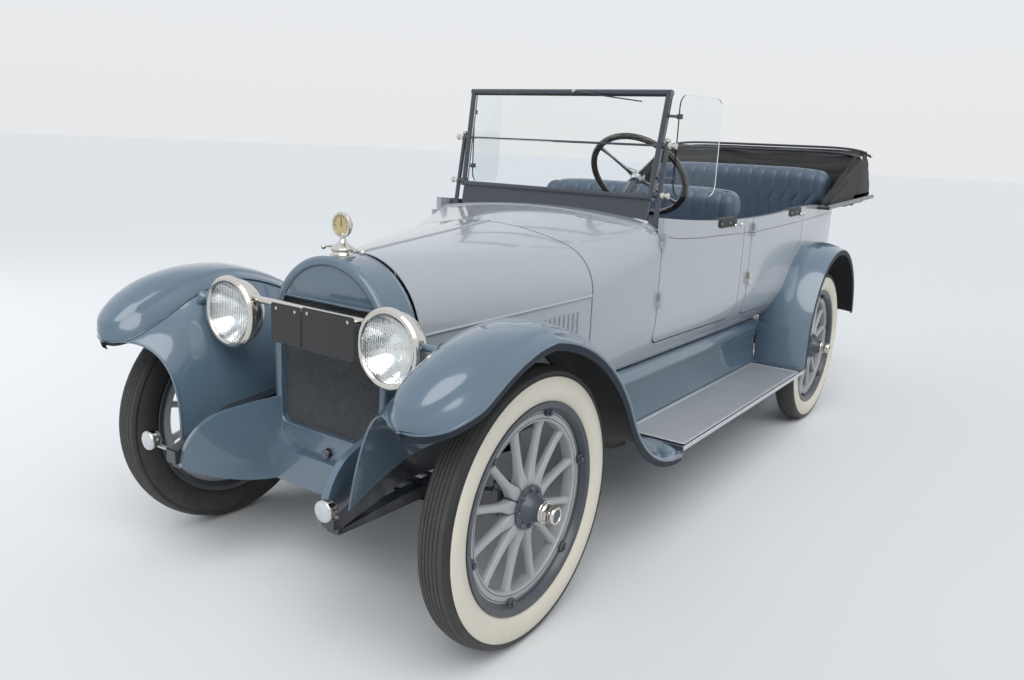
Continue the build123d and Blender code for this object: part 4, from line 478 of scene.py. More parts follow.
def tyreProfile():
    # across the tread: flat ribs with sloped grooves on a slight crown; then a circle down each side
    span, count = tyre["ribSpan"], tyre["ribs"]
    edges = -span + 2 * span / count * np.arange(1, count)
    half, depth = tyre["groove"] / 2, tyre["grooveDepth"]
    across = np.stack([edges - half, edges - half + 0.7, edges + half - 0.7, edges + half], 1).ravel()
    lower = np.tile([0, depth, depth, 0], count - 1)
    across = np.concatenate([[-span - 1.5], across, [span + 1.5]])
    lower = np.concatenate([[0], lower, [0]])
    crowned = carSizes["tyreRadius"] - tyre["crown"] * (across / tyre["shoulder"]) ** 2
    tread = np.column_stack([across, crowned - lower])
    # side wall: circle through the shoulder, the widest point and the bead
    turn = np.linspace(math.radians(47), math.radians(-64), 16)[1:]
    side = np.column_stack([9 + 50 * np.cos(turn), 376 + 60 * np.sin(turn)])
    side = np.concatenate([[[tyre["shoulder"], 429], [49.5, 423]], side, [[40, 322]]])
    bed = np.column_stack([np.linspace(36, -36, 5), np.full(5, 323.0)])
    return np.concatenate([side[::-1] * [-1, 1], tread, side, bed])


def makeTyre(name, centre, axis, body, node):
    profile = tyreProfile()
    points, faces = lathe(profile, centre, axis, tyre["steps"])
    middle = (profile + np.roll(profile, -1, 0)) / 2
    low, high = tyre["white"]
    slots = np.zeros(len(profile), int)
    slots[np.abs(middle[:, 0]) < tyre["ribSpan"] + 1] = 1
    slots[middle[:, 1] < low] = 0
    slots[(middle[:, 0] > tyre["whiteFrom"]) & (middle[:, 1] < high) & (middle[:, 1] > low)] = 2
    piece = makePiece(name, points, faces, np.tile(slots, tyre["steps"]))
    dress(weld(piece, 32), body, [tyreRubber, treadRubber, whiteRubber], [node])


def powerOval(half, turn, power):
    # superellipse along one of its axes: half * sign(c) * |c| ^ (2 / power)
    return half[:, None] * np.sign(turn) * np.abs(turn) ** (2 / power[:, None])


def makeWheel(name, centre, axis, body, node, braked):
    axisUnit, first, second = frameOf(axis)
    centre = np.asarray(centre, float)

    def place(outboard, radial, tangent, angle):
        # outboard along the axis, radial towards the angle and tangent square to both
        ahead = np.cos(angle) * first + np.sin(angle) * second
        side = -np.sin(angle) * first + np.cos(angle) * second
        return centre + outboard[..., None] * axisUnit + radial[..., None] * ahead + tangent[..., None] * side

    def turned(profile, steps, slot):
        addTo(parts, *lathe(profile, centre, axis, steps), slot)

    parts = []
    form = wheelForm
    felloe = roundedBox(2 * form["felloeHalf"], form["felloeOuter"] - form["felloeInner"], form["felloeCorner"], 4)
    turned(felloe + [0, (form["felloeOuter"] + form["felloeInner"]) / 2], form["steps"], 0)
    for r in form["stripes"]:
        turned([(23.2, r - 1.3), (23.5, r - 1.3), (23.5, r + 1.3), (23.2, r + 1.3)], form["steps"], 1)
    reach, halfWide, halfDeep, power = np.array(form["spoke"], float).T
    turn = np.linspace(0, 2 * np.pi, 20, endpoint=False)
    wide, deep = powerOval(halfWide, np.cos(turn), power), powerOval(halfDeep, np.sin(turn), power)
    for k in range(form["spokes"]):
        angle = 2 * math.pi * (k + 0.5) / form["spokes"]
        addRings(parts, place(deep, np.broadcast_to(reach[:, None], wide.shape), wide, angle), 0, (1, -1))
    turned(form["rim"], form["steps"], 1)
    # lugs with their nuts
    outline = roundedBox(34, 36, 8, 4)
    turn = np.arange(6) * math.pi / 3
    hexagon = form["nutSize"] * np.stack([np.cos(turn), np.sin(turn)], 1)
    for k in range(form["lugs"]):
        angle = 2 * math.pi * (k + 0.25) / form["lugs"]
        for shape, radius, levels in ((outline, form["lugRadius"], ((22, 1.0), (33, 1.0), (36, 0.86))),
                                      (hexagon, form["nutRadius"], ((35, 1), (42, 1), (43.5, 0.8)))):
            rings = [place(np.full(len(shape), out), radius + shape[:, 1] * size, shape[:, 0] * size, angle)
                     for out, size in levels]
            addRings(parts, rings, 1)
    turned(form["hub"], 64, 2)
    turned(form["innerFlange"], 64, 2)
    dome = np.array(form["boltDome"])
    turn = np.linspace(0, 2 * np.pi, 12, endpoint=False)
    for k in range(form["bolts"]):
        x, z = dome[:, 1:2] * np.cos(turn), dome[:, 1:2] * np.sin(turn)
        angle = 2 * math.pi * k / form["bolts"]
        addRings(parts, place(np.broadcast_to(dome[:, 0:1], x.shape), form["boltRadius"] + x, z, angle), 2)
    # nickel hub cap: a stepped ring, a hexagon and a blank recessed centre
    turned(form["capRing"], 64, 3)
    turn = np.arange(48) * 2 * math.pi / 48
    flat = form["capFlat"] / np.maximum(np.cos((turn + math.pi / 6) % (math.pi / 3) - math.pi / 6), 0.9)
    rings = [place(np.full(48, out), flat * size * np.cos(turn), flat * size * np.sin(turn), 0.0)
             for out, size in ((92, 0.97), (94, 1), (112, 1), (114, 0.965))]
    addRings(parts, rings, 3, (0, 0))
    points, ring = lathe(form["capCrown"], centre, axis, 48, False)
    centreFaces = np.arange(len(ring)) % (len(form["capCrown"]) - 1) == len(form["capCrown"]) - 2
    addTo(parts, points, ring[~centreFaces], 3)
    addTo(parts, points, ring[centreFaces], 2)
    if braked:
        radius, near, far, wall = (drum[key] for key in ("radius", "near", "far", "wall"))
        turned([(near, drum["bore"]), (near, radius - 6), (near - 4, radius), (far + 3, radius),
                (far + 3, radius + 4), (far, radius + 4), (far, radius - wall), (near - 6, radius - wall),
                (near - 6, drum["bore"])], 96, 1)
    finishPiece(name, parts, body, [wheelPaint, rimEnamel, hubPaint, nickelPlate], [node], 30)


for end, station in (("front", 0), ("rear", carSizes["wheelbase"])):
    for word, side in (("left", 1), ("right", -1)):
        corner = end + "_" + word
        centre = (side * carSizes["track"] / 2, at(station), carSizes["tyreRadius"])
        makeTyre("tyreRubber_" + corner, centre, (side, 0, 0), "wheel_" + corner, "tyre_" + corner)
        makeWheel("woodWheel_" + corner, centre, (side, 0, 0), "wheel_" + corner, "wheel_" + corner, end == "rear")
makeTyre("tyreRubber_spare", (0, at(3690), 760), (0, 1, 0), "chassis", "spare_tyre")


print("stage 5: radiator, lamps and cap")

forward = (0, -1, 0)
radiator = {
    "coreFront": -101, "coreBack": -80, "backing": (-238, 238, 516, 978), "backingDepth": (1, 60),
    "halfWide": 240, "low": 514, "high": 980, "ribbonPitch": 9.0, "cellHeight": 10.4, "wave": 2.3, "ribbonThick": 1.1,
    "frontStation": -125, "archZ": 858, "archRadius": 268, "footHalf": 252, "footZ": 416,
    "windowHalf": 236, "windowLow": 518, "windowHigh": 976, "windowCorner": 40, "crankZ": 458,
}


def addBlock(parts, low, high, corner, slot):
    # box with round upright edges and eased top and bottom between two corners
    low, high = np.asarray(low, float), np.asarray(high, float)
    middle, size = (low + high) / 2, high - low
    outline = roundedBox(size[0], size[1], corner, 3)
    ease = 0.4 * corner
    rings = []
    for z, shrink in ((low[2], ease), (low[2] + ease, 0), (high[2] - ease, 0), (high[2], ease)):
        rings.append(np.column_stack([outline * (1 - 2 * shrink / size[:2]) + middle[:2], np.full(len(outline), z)]))
    addRings(parts, rings, slot, (-1, 1))


def makeRadiatorCore():
    # upright ribbons: a trapezoid wave in x as z rises, mirrored from one to the next, so that they close hexagons
    count = int(2 * radiator["halfWide"] / radiator["ribbonPitch"]) + 1
    periods = int((radiator["high"] - radiator["low"]) / radiator["cellHeight"])
    k = np.arange(4 * periods + 1)
    z = radiator["low"] + radiator["cellHeight"] * (k // 4 + np.array([0, 0.3, 0.5, 0.8])[k % 4])
    wave = radiator["wave"] * np.array([1, 1, -1, -1])[k % 4]
    centre = -radiator["halfWide"] + radiator["ribbonPitch"] * np.arange(count)
    middle = centre[:, None] + np.where(np.arange(count) % 2, 1, -1)[:, None] * wave
    half, front, back = radiator["ribbonThick"] / 2, at(radiator["coreFront"]), at(radiator["coreBack"])
    rows = [
        np.stack([middle + shift, np.full(middle.shape, y), np.broadcast_to(z, middle.shape)], -1)
        for shift, y in ((-half, back), (-half, front), (half, front), (half, back))
    ]
    ribbon = gridFaces(len(z), 4, False, True)
    parts = []
    addTo(parts, np.stack(rows, 2), (ribbon[None] + (np.arange(count) * len(z) * 4)[:, None, None]).reshape(-1, 4))
    (x0, x1, z0, z1), (near, far) = radiator["backing"], radiator["backingDepth"]
    addBlock(parts, (x0, back - near, z0), (x1, back + far, z1), 4, 1)
    finishPiece("radiatorHoneycomb", parts, "chassis", [coreMetal, underBlack], ["radiator_core"])


def archPath(inset, station):
    # up one side, round the arch and down the other
    turn = np.linspace(0, np.pi, 40)
    radius = radiator["archRadius"] - inset
    arch = np.stack([radius * np.cos(turn), radiator["archZ"] + radius * np.sin(turn)], 1)
    foot = np.linspace(0, 1, 8, endpoint=False)[:, None]
    right = (1 - foot) * [radiator["footHalf"] - inset, radiator["footZ"]] + foot * [radius, radiator["archZ"]]
    return atStation(np.concatenate([right, arch, (right * [-1, 1])[::-1]]), station)


def makeShellTrim():
    # a wide bead on the front, a thin one at each end, a bead round the window, and the crank stub in its hole
    parts = []
    half = np.linspace(0, 2 * np.pi, 20, endpoint=False)
    oval = np.stack([8 * np.sin(half), 15 * np.cos(half)], 1)
    for path, profile in ((archPath(15, radiator["frontStation"] - 1), oval), (archPath(4, -122), circle(6.5, 14)),
                          (archPath(4, 8), circle(6.5, 14))):
        addTo(parts, *sweepAlong(path, profile, (0, 1, 0)))
    low, high = radiator["windowLow"], radiator["windowHigh"]
    outline = roundedBox(2 * radiator["windowHalf"], high - low, radiator["windowCorner"], 8) + [0, (low + high) / 2]
    path = atStation(outline, radiator["frontStation"])
    addTo(parts, *sweepAlong(path, circle(5, 10), (0, 1, 0), closedPath=True))
    collar = [(0, 12), (4, 12), (6, 15), (12, 15.5), (15, 14), (15, 9), (2, 9), (0, 9)]
    addTo(parts, *lathe(collar, (0, at(-128), radiator["crankZ"]), forward, 32), 1)
    stub = [(0, 8), (30, 8), (34, 7), (36, 4), (36.5, 0.01)]
    addTo(parts, *lathe(stub, (0, at(-112), radiator["crankZ"]), forward, 24, False), 1)
    finishPiece("radiatorTrim", parts, "chassis", [fenderPaint, dullSteel])


# each plate is its low and high x, then its low and high z
plates = {"station": -250, "corner": 9, "main": (16, 246, 843, 981), "small": (-128, 12, 847, 977),
          "boltInset": (26, 17), "strapFoot": (-206, 962)}


def makePlates():
    # two plain enamelled plates with a rolled edge, on two straps each from the bar
    parts = []
    station, (boltX, boltZ), (footStation, footZ) = plates["station"], plates["boltInset"], plates["strapFoot"]
    for left, right, bottom, top in (plates["main"], plates["small"]):
        centre = np.array([(left + right) / 2, (bottom + top) / 2])
        rings = []
        for inset, out in ((0, 0), (0, 1.8), (1.2, 2.8), (3.2, 2.8), (4.6, 1.6), (4.6, 1.6)):
            box = roundedBox(right - left - 2 * inset, top - bottom - 2 * inset, plates["corner"] - inset, 5)
            rings.append(atStation(box + centre, station - out))
        addRings(parts, rings, 0, (1, 1))
        for x in (left + boltX, right - boltX):
            bolt = [(-1, 5.5), (3.4, 5.5), (4.6, 4), (5, 0.01)]
            addTo(parts, *lathe(bolt, (x, at(station) - 1, top - boltZ), forward, 12, False), 1)
            bar(parts, (x, at(footStation), footZ), (x, at(station) + 3, top - boltZ), 5, 10, 1)
    finishPiece("blankPlates", parts, "chassis", [plateEnamel, nickelPlate])


headlamp = {
    "x": 367, "z": 904, "rear": -116, "reflector": (38, 103.4, 131), "lensRadius": 107, "flute": 9,
    "bowl": [(0.5, 0.01), (1, 10), (8, 36), (20, 62), (34, 82), (52, 99), (66, 108), (74, 111)],
    "rim": [(80, 111.6), (84, 113.4), (88, 113.4), (91, 111.8), (104, 112), (105.5, 118), (107, 123), (110, 125),
            (117, 125), (121, 123.4), (123, 121), (124.4, 119.4), (126.4, 118), (128, 114), (127.6, 109.6),
            (125, 106.2), (122, 104.6)],
    "bulb": [(40, 11), (56, 11), (58, 9), (62, 9.5), (68, 11), (75, 11.5), (81, 9.5), (85, 5), (86.5, 0.01)],
    "foot": [(0, 15), (6, 15), (12, 11), (26, 9), (40, 9)],
}


def makeHeadlamps():
    shellParts, lensParts = [], []
    bottom, reach, focal = headlamp["reflector"]
    rim = np.array(headlamp["rim"])
    out = reach * (1 - np.linspace(0, 1, 14))
    mirror = np.concatenate([rim[-1:], np.column_stack([bottom + out ** 2 / focal, out + 0.01])])
    shell = np.concatenate([smoothLine(headlamp["bowl"], 4), rim])
    for side in (1, -1):
        middleX, z0, y0 = side * headlamp["x"], headlamp["z"], at(headlamp["rear"])
        centre = (middleX, y0, z0)
        addTo(shellParts, *lathe(shell, centre, forward, 96, False))
        addTo(shellParts, *lathe(mirror, centre, forward, 96, False), 1)
        addTo(shellParts, *lathe(headlamp["bulb"], centre, forward, 32, False), 2)
        addTo(shellParts, *lathe(headlamp["foot"], (middleX, at(-206), z0 - 124), (0, 0, 1), 24, False))
        # fluted glass: a flat front with a low dome, and ribs of a cosine in x, deeper on the back
        radius = np.linspace(0.4, headlamp["lensRadius"], 44)[:, None]
        angle = np.linspace(0, 2 * np.pi, 200, endpoint=False)
        x, z = radius * np.cos(angle), radius * np.sin(angle)
        dome = 4.2 * (1 - (radius / headlamp["lensRadius"]) ** 2)
        flutes = np.cos(2 * np.pi * x / headlamp["flute"])
        skins = [np.stack([middleX + x, y0 - level, z0 + z], -1)
                 for level in (121.4 + dome + 0.15 * flutes, 118.2 + dome + 0.9 * flutes)]
        for skin, flip in zip(skins, (False, True)):
            addTo(lensParts, skin, ringFaces(*x.shape, (-1, 0), flip))
        addTo(lensParts, [skin[-1] for skin in skins], gridFaces(2, len(angle), False, True, True))
    finishPiece("headlampShells", shellParts, "chassis", [nickelPlate, mirrorSilver, bulbGlass],
                ["headlamps"], 30)
    finishPiece("headlampGlasses", lensParts, "chassis", [lampGlass], ["headlamp_lenses"], 50)


hornLamp = {
    "x": 412, "station": -484, "z": 509, "girth": 1.14,
    "shell": [(0, 0.01), (1, 8), (6, 17), (14, 23), (24, 26), (36, 27), (38, 28), (44, 28), (47, 26.5), (47, 22.5)],
    "lens": [(45, 24), (47.5, 22), (50, 16), (51.4, 8), (51.9, 0.01)],
    "bracket": [(412, -500, 488), (404, -470, 470)],
}


def makeHornLamps():
    # small bullet lamps on the horn tips: lens in front, tail behind, on a short bracket
    parts = []
    for side in (1, -1):
        centre = (side * hornLamp["x"], at(hornLamp["station"]), hornLamp["z"])
        for slot, key in enumerate(("shell", "lens")):
            profile = np.array(hornLamp[key]) * [1, hornLamp["girth"]]
            addTo(parts, *lathe(profile, centre, forward, 40, False), slot)
        bar(parts, *((side * x, at(station), z) for x, station, z in hornLamp["bracket"]), 7)
    finishPiece("hornLampShells", parts, "chassis", [nickelPlate, paleLens], ["horn_lamps"])


capForm = {
    "station": -62, "base": 1124, "gaugeZ": 1226, "ticks": 11, "tickStep": 24,
    "body": [(0, 42), (4, 42), (6, 38), (12, 34), (16, 33), (18, 37), (21, 39), (26, 39), (29, 36), (34, 30),
             (40, 22), (46, 15), (54, 10), (62, 9), (70, 12), (74, 14), (78, 0.01)],
    "wing": [(20, 1154), (44, 1153), (66, 1150), (84, 1146)],
    "gauge": [(-9, 0.01), (-9, 34), (-6, 39), (0, 41.5), (6, 41.5), (9, 40), (10.4, 37), (10, 33.6), (6.5, 33)],
}


def makeCap():
    # neck and cap turned about the upright axis, two wings ending in balls, and a round gauge above them
    parts = []
    y = at(capForm["station"])
    gaugeCentre = (0, y, capForm["gaugeZ"])
    addTo(parts, *lathe(smoothLine(capForm["body"], 3), (0, y, capForm["base"]), (0, 0, 1), 56, False))
    turn = np.linspace(0, np.pi, 11)
    ball = np.stack([-9 * np.cos(turn), 9 * np.sin(turn) + 0.01], 1)
    for side in (1, -1):
        line = smoothLine([(side * x, y, z) for x, z in capForm["wing"]], 6)
        profile = np.stack([circle(width) * [1, 0.7] for width in np.linspace(9, 4.4, len(line))])
        addTo(parts, *sweepAlong(line, profile, (0, 1, 0)))
        addTo(parts, *lathe(ball, (side * 90, y, 1145), (side, 0, 0), 20, False))
    addTo(parts, *lathe(capForm["gauge"], gaugeCentre, forward, 64, False))
    addTo(parts, *lathe([(6.5, 33), (6.5, 12), (6.5, 0.01)], gaugeCentre, forward, 64, False), 1)
    # plain ticks and a needle
    tick = np.array([(-0.7, 24), (0.7, 24), (0.7, 30), (-0.7, 30)])
    for k in range(capForm["ticks"]):
        angle = math.radians(-120 + capForm["tickStep"] * k)
        x = tick[:, 0] * math.cos(angle) + tick[:, 1] * math.sin(angle)
        z = -tick[:, 0] * math.sin(angle) + tick[:, 1] * math.cos(angle)
        prism(parts, np.column_stack([x, np.full(4, y - 6.3), capForm["gaugeZ"] + z]), (0, -0.7, 0), 2)
    needle = [(x, y - 7.2, capForm["gaugeZ"] + z) for x, z in ((-1.6, -6), (1.6, -6), (0.5, 25), (-0.5, 25))]
    prism(parts, needle, (0, -0.7, 0), 2)
    finishPiece("radiatorCapGauge", parts, "chassis", [nickelPlate, dialYellow, underBlack],
                ["radiator_cap"])


makeRadiatorCore()
makeShellTrim()
makePlates()
makeHeadlamps()
makeHornLamps()
makeCap()


print("stage 6: front fenders")

fender = {
    "innerX": 572, "outerX": 825, "drop": 34, "outerCorner": 150, "innerCorner": 92, "noseStation": -508,
    "sweep": [(-30, 1011), (400, 800), (524, 640)], "heading": -7.6, "endStation": 950,
    "sheet": 3, "emboss": 6.5, "margin": (26, 50),
    # pairs of edge point and crown point (station, z) from the tip of the nose to the top of the wheel
    "nose": [(-508, 797, -511, 799), (-505.3, 797.6, -514.5, 814), (-497.4, 800, -513, 834), (-484.6, 805, -505, 856),
             (-467.7, 812, -489, 880), (-449, 820.5, -464, 906), (-426.6, 833, -430, 932), (-403, 844, -398, 950),
             (-355, 866, -345, 975), (-306, 893, -300, 990), (-247, 924, -245, 1002), (-185, 949, -185, 1010),
             (-110, 969, -108, 1013.5), (-34.5, 977.3, -30, 1011)],
    # profiles out from the rim and down from it: the rolled edge, then the dark flange, its darkness painted shade
    "roll": [(0, 0), (2.4, 1.0), (3.4, 3.6), (2.6, 6.4), (0.6, 8.0), (-1.0, 8.6)],
    "flange": [(-1.0, 8.6), (-2.6, 20), (-4.4, 30), (-8.5, 31)], "innerFlange": 0.55,
}
skirt = {
    "middleX": 466, "footX": 397, "span": (-490, 508), "rows": 90, "columns": 34, "bead": 4.2,
    "middleRow": [(-413, 725), (-330, 762), (-230, 781), (-35, 790), (180, 760), (376, 690), (440, 660), (505, 614)],
    "footRow": [(-417, 470), (-300, 520), (-150, 566), (0, 573), (130, 574), (376, 576), (440, 576), (505, 574)],
    "arm": {"station": -206, "z": 926, "from": 462, "to": 546, "radius": 11},
    "boss": [(0, 11), (2, 24), (5, 25), (8, 22), (12, 15), (16, 12), (18, 11)],
}


def arcLine(start, heading, end, steps):
    # circle's arc that leaves start along heading: the tangent turns evenly to twice the chord's angle less heading
    chord = np.subtract(end, start)
    last = 2 * math.atan2(chord[1], chord[0]) - heading
    radius = np.hypot(*chord) / (2 * math.sin((last - heading) / 2))
    turn = np.linspace(heading, last, steps)
    across, up = radius * (np.sin(turn) - np.sin(heading)), radius * (np.cos(turn) - np.cos(heading))
    return np.stack([start[0] + across, start[1] - up], 1), turn, last


def unit(vectors, tiny=0.0):
    return vectors / (np.linalg.norm(vectors, axis=-1, keepdims=True) + tiny)


def travelled(points):
    # length walked along a line of points up to each of them
    return np.concatenate([[0], np.cumsum(np.linalg.norm(np.diff(points, axis=0), axis=1))])


def fenderLines():
    # edge line, crown line and the direction towards the wheel, from the nose to the running board
    pairs = smoothLine(fender["nose"], 7)
    edge, crown = pairs[:, :2], pairs[:, 2:]
    heading = math.radians(fender["heading"])
    for start, end in zip(fender["sweep"], fender["sweep"][1:] + [None]):
        if end is None:
            end = (fender["endStation"], start[1] + (fender["endStation"] - start[0]) * math.tan(heading / 2))
        points, turn, heading = arcLine(start, heading, end, 30)
        crown = np.concatenate([crown, points[1:]])
        edge = np.concatenate([edge, (points + fender["drop"] * np.stack([np.sin(turn), -np.cos(turn)], 1))[1:]])
    run = unit(np.gradient(edge, axis=0))
    inward = np.stack([run[:, 1], -run[:, 0]], 1)
    inward[:, 0] *= np.clip((edge[:, 0] + 520) / 60, 0.25, 1)
    return edge, crown, unit(inward)


def makeCrown(edge, crown, inward, inner, outer, ahead):
    # P(t, v) = edge + (crown - edge) * (1 - |v|^2.3)^0.8 with x from the inner to the outer edge line, bowed at the
    # nose, and a low embossed field pushed out along the normal
    v = np.sin(np.linspace(-1, 1, 61) * np.pi / 2)
    half = (outer - inner) / 2
    x = ((inner + outer) / 2)[:, None] + half[:, None] * v
    flat = edge[:, None] + (crown - edge)[:, None] * ((1 - np.abs(v) ** 2.3) ** 0.8)[None, :, None]
    bow = -9 * (1 - v ** 2)[None] * np.clip(1 - ahead[:, None] / 60, 0, 1) ** 2
    surface = np.stack([x, flat[..., 0] + bow, flat[..., 1]], -1)
    normal = unit(np.cross(np.gradient(surface, axis=1), np.gradient(surface, axis=0)), 1e-9)
    sideways = half[:, None] * (1 - np.abs(v))
    near = 1 / (1 / (sideways + 1) ** 4 + 1 / (travelled(crown)[:, None] * 0.8 + 1) ** 4) ** 0.25
    low, high = fender["margin"]
    step = np.clip((near - low) / (high - low), 0, 1)
    fade = np.clip((860 - surface[..., 1]) / 200, 0, 1)
    surface = surface + normal * (fender["emboss"] * fade * step ** 2 * (3 - 2 * step))[..., None]
    rows, columns = surface.shape[:2]
    # rolled edge and flange round the rim: out along the rim's normal and down towards the wheel
    rim = np.concatenate([surface[::-1, -1], surface[0, -2:0:-1], surface[:, 0]])
    down = np.concatenate([inward[::-1], np.repeat(inward[:1], columns - 2, 0), inward])
    down = np.column_stack([np.zeros(len(down)), down])
    out = unit(np.cross(unit(np.gradient(rim, axis=0)), down))
    small = fender["innerFlange"]
    deep = np.concatenate([np.ones(rows), np.linspace(1, small, columns - 2), np.full(rows, small)])[:, None]
    parts = []
    for side in (1, -1):
        mirror, place = [side, 1, 1], [0, carSizes["frontAxleY"], 0]
        addTo(parts, surface * mirror + place, gridFaces(rows, columns, flip=side < 0))
        for key, slot in (("roll", 0), ("flange", 2)):
            profile = np.array(fender[key])[None]
            sunk = profile[..., 1:] * deep[..., None]
            strip = rim[:, None] + out[:, None] * profile[..., :1] + down[:, None] * sunk
            addTo(parts, strip * mirror + place, gridFaces(*strip.shape[:2], flip=side > 0), slot)
    piece = weld(joinParts("frontFenders", parts), 40, False)
    skin = piece.modifiers.new("sheet", "SOLIDIFY")
    skin.thickness = fender["sheet"] * mm
    skin.offset = -1
    skin.material_offset = 1
    dress(piece, "chassis", [fenderPaint, underBlack, flangePaintedShade, underBlack], ["front_fenders"])


def makeSkirts(underEdge):
    # three rows, under the crown, half way and at the rail, joined by a parabola across, with a bead on the front
    rows = []
    middle, foot = (np.insert(smoothLine(skirt[key + "Row"]), 0, skirt[key + "X"], 1) for key in ("middle", "foot"))
    for row in (underEdge, middle, foot):
        length = travelled(row)
        even = np.linspace(0, length[-1], skirt["rows"])
        rows.append(np.stack([np.interp(even, length, row[:, k]) for k in range(3)], 1))
    w = np.linspace(0, 1, skirt["columns"])[None, :, None]
    weights = (2 * (w - 0.5) * (w - 1), 4 * w * (1 - w), 2 * w * (w - 0.5))
    sheet = sum(weight * row[:, None] for weight, row in zip(weights, rows))
    normal = unit(np.cross(np.gradient(sheet, axis=1), np.gradient(sheet, axis=0)))
    shell = np.concatenate([sheet, (sheet + normal * fender["sheet"])[:, ::-1]], 1)
    arm = skirt["arm"]
    parts = []
    for side in (1, -1):
        mirror, place = [side, 1, 1], [0, carSizes["frontAxleY"], 0]
        addTo(parts, shell * mirror + place, ringFaces(*shell.shape[:2], (-1, 1), side > 0))
        addTo(parts, *sweepAlong(sheet[0] * mirror + place, circle(skirt["bead"]), (0, 1, 0)))
        start, end = ((side * arm[key], at(arm["station"]), arm["z"]) for key in ("from", "to"))
        bar(parts, start, end, arm["radius"], 20)
        addTo(parts, *lathe(skirt["boss"], (side * (arm["to"] + 2), *end[1:]), (-side, 0, 0), 28, False))
    finishPiece("fenderSkirts", parts, "chassis", [fenderPaint])


def makeFrontFenders():
    # both edge lines turn in along quarter circles at the nose
    edge, crown, inward = fenderLines()
    ahead = np.clip(edge[:, 0] - fender["noseStation"], 0, None)
    turnIn = [
        radius - np.sqrt(np.clip(radius ** 2 - (radius - np.clip(ahead, 0, radius)) ** 2, 0, None))
        for radius in (fender["innerCorner"], fender["outerCorner"])
    ]
    inner, outer = fender["innerX"] + turnIn[0], fender["outerX"] - turnIn[1]
    makeCrown(edge, crown, inward, inner, outer, ahead)
    chosen = (edge[:, 0] > skirt["span"][0]) & (edge[:, 0] < skirt["span"][1])
    makeSkirts(np.column_stack([inner[chosen] + 4, edge[chosen] + [0, -3]]))


makeFrontFenders()


print("stage 7: seats, folded top and trim")


def surfaceTree(name):
    # a CAD node as a tree for finding points on its skin
    mesh = nodes[name].data
    return BVHTree.FromPolygons([v.co.copy() for v in mesh.vertices], [list(p.vertices) for p in mesh.polygons])


def skinLine(tree, side, stations, heights, lift=0.0):
    # points on the side of the body, found from outside at each station and height
    line = []
    for station, height in zip(stations, heights):
        hit = tree.ray_cast(Vector((side * 1.2, at(station) * mm, height * mm)), Vector((-side, 0, 0)))[0]
        if hit is not None:
            line.append((hit.x / mm + side * lift, at(station), height))
    return np.array(line)


def outlineNormals(outline):
    # unit normals of a closed outline, square to the chord between each point's neighbours
    normal = np.roll(outline, -1, 0) - np.roll(outline, 1, 0)
    return unit(np.stack([normal[:, 1], -normal[:, 0]], 1))


def roundedEnd(x, half, reach):
    # how far a section has drawn in at each x: a quarter circle over the last stretch before the end
    past = np.clip((np.abs(x) - (half - reach)) / reach, 0, 1)
    return 1 - np.sqrt(np.clip(1 - past ** 2, 0, 1))


seatForm = {"perPleat": 10, "endRound": 46.0, "pleatDepth": 11, "crown": 4, "inset": 3, "pipe": 5.0, "earDrop": 26}
# s is front and rear station, z low and high; the rear back flares near its top, by part of its width
seats = [
    {"name": "frontCushion", "node": "front_seat_cushion", "s": (1484, 1962), "z": (700, 958), "half": 536,
     "pleats": 13, "corner": 60, "back": False, "flare": 0},
    {"name": "rearCushion", "node": "rear_seat_cushion", "s": (2904, 3382), "z": (720, 978), "half": 566,
     "pleats": 13, "corner": 60, "back": False, "flare": 0},
    {"name": "frontBack", "node": "front_seat_back", "s": (1962, 2108), "z": (700, 1346), "half": 550,
     "pleats": 15, "corner": 62, "back": True, "flare": 0},
    {"name": "rearBack", "node": "rear_seat_back", "s": (3382, 3538), "z": (720, 1455), "half": 542,
     "pleats": 15, "corner": 66, "back": True, "flare": 0.098},
]


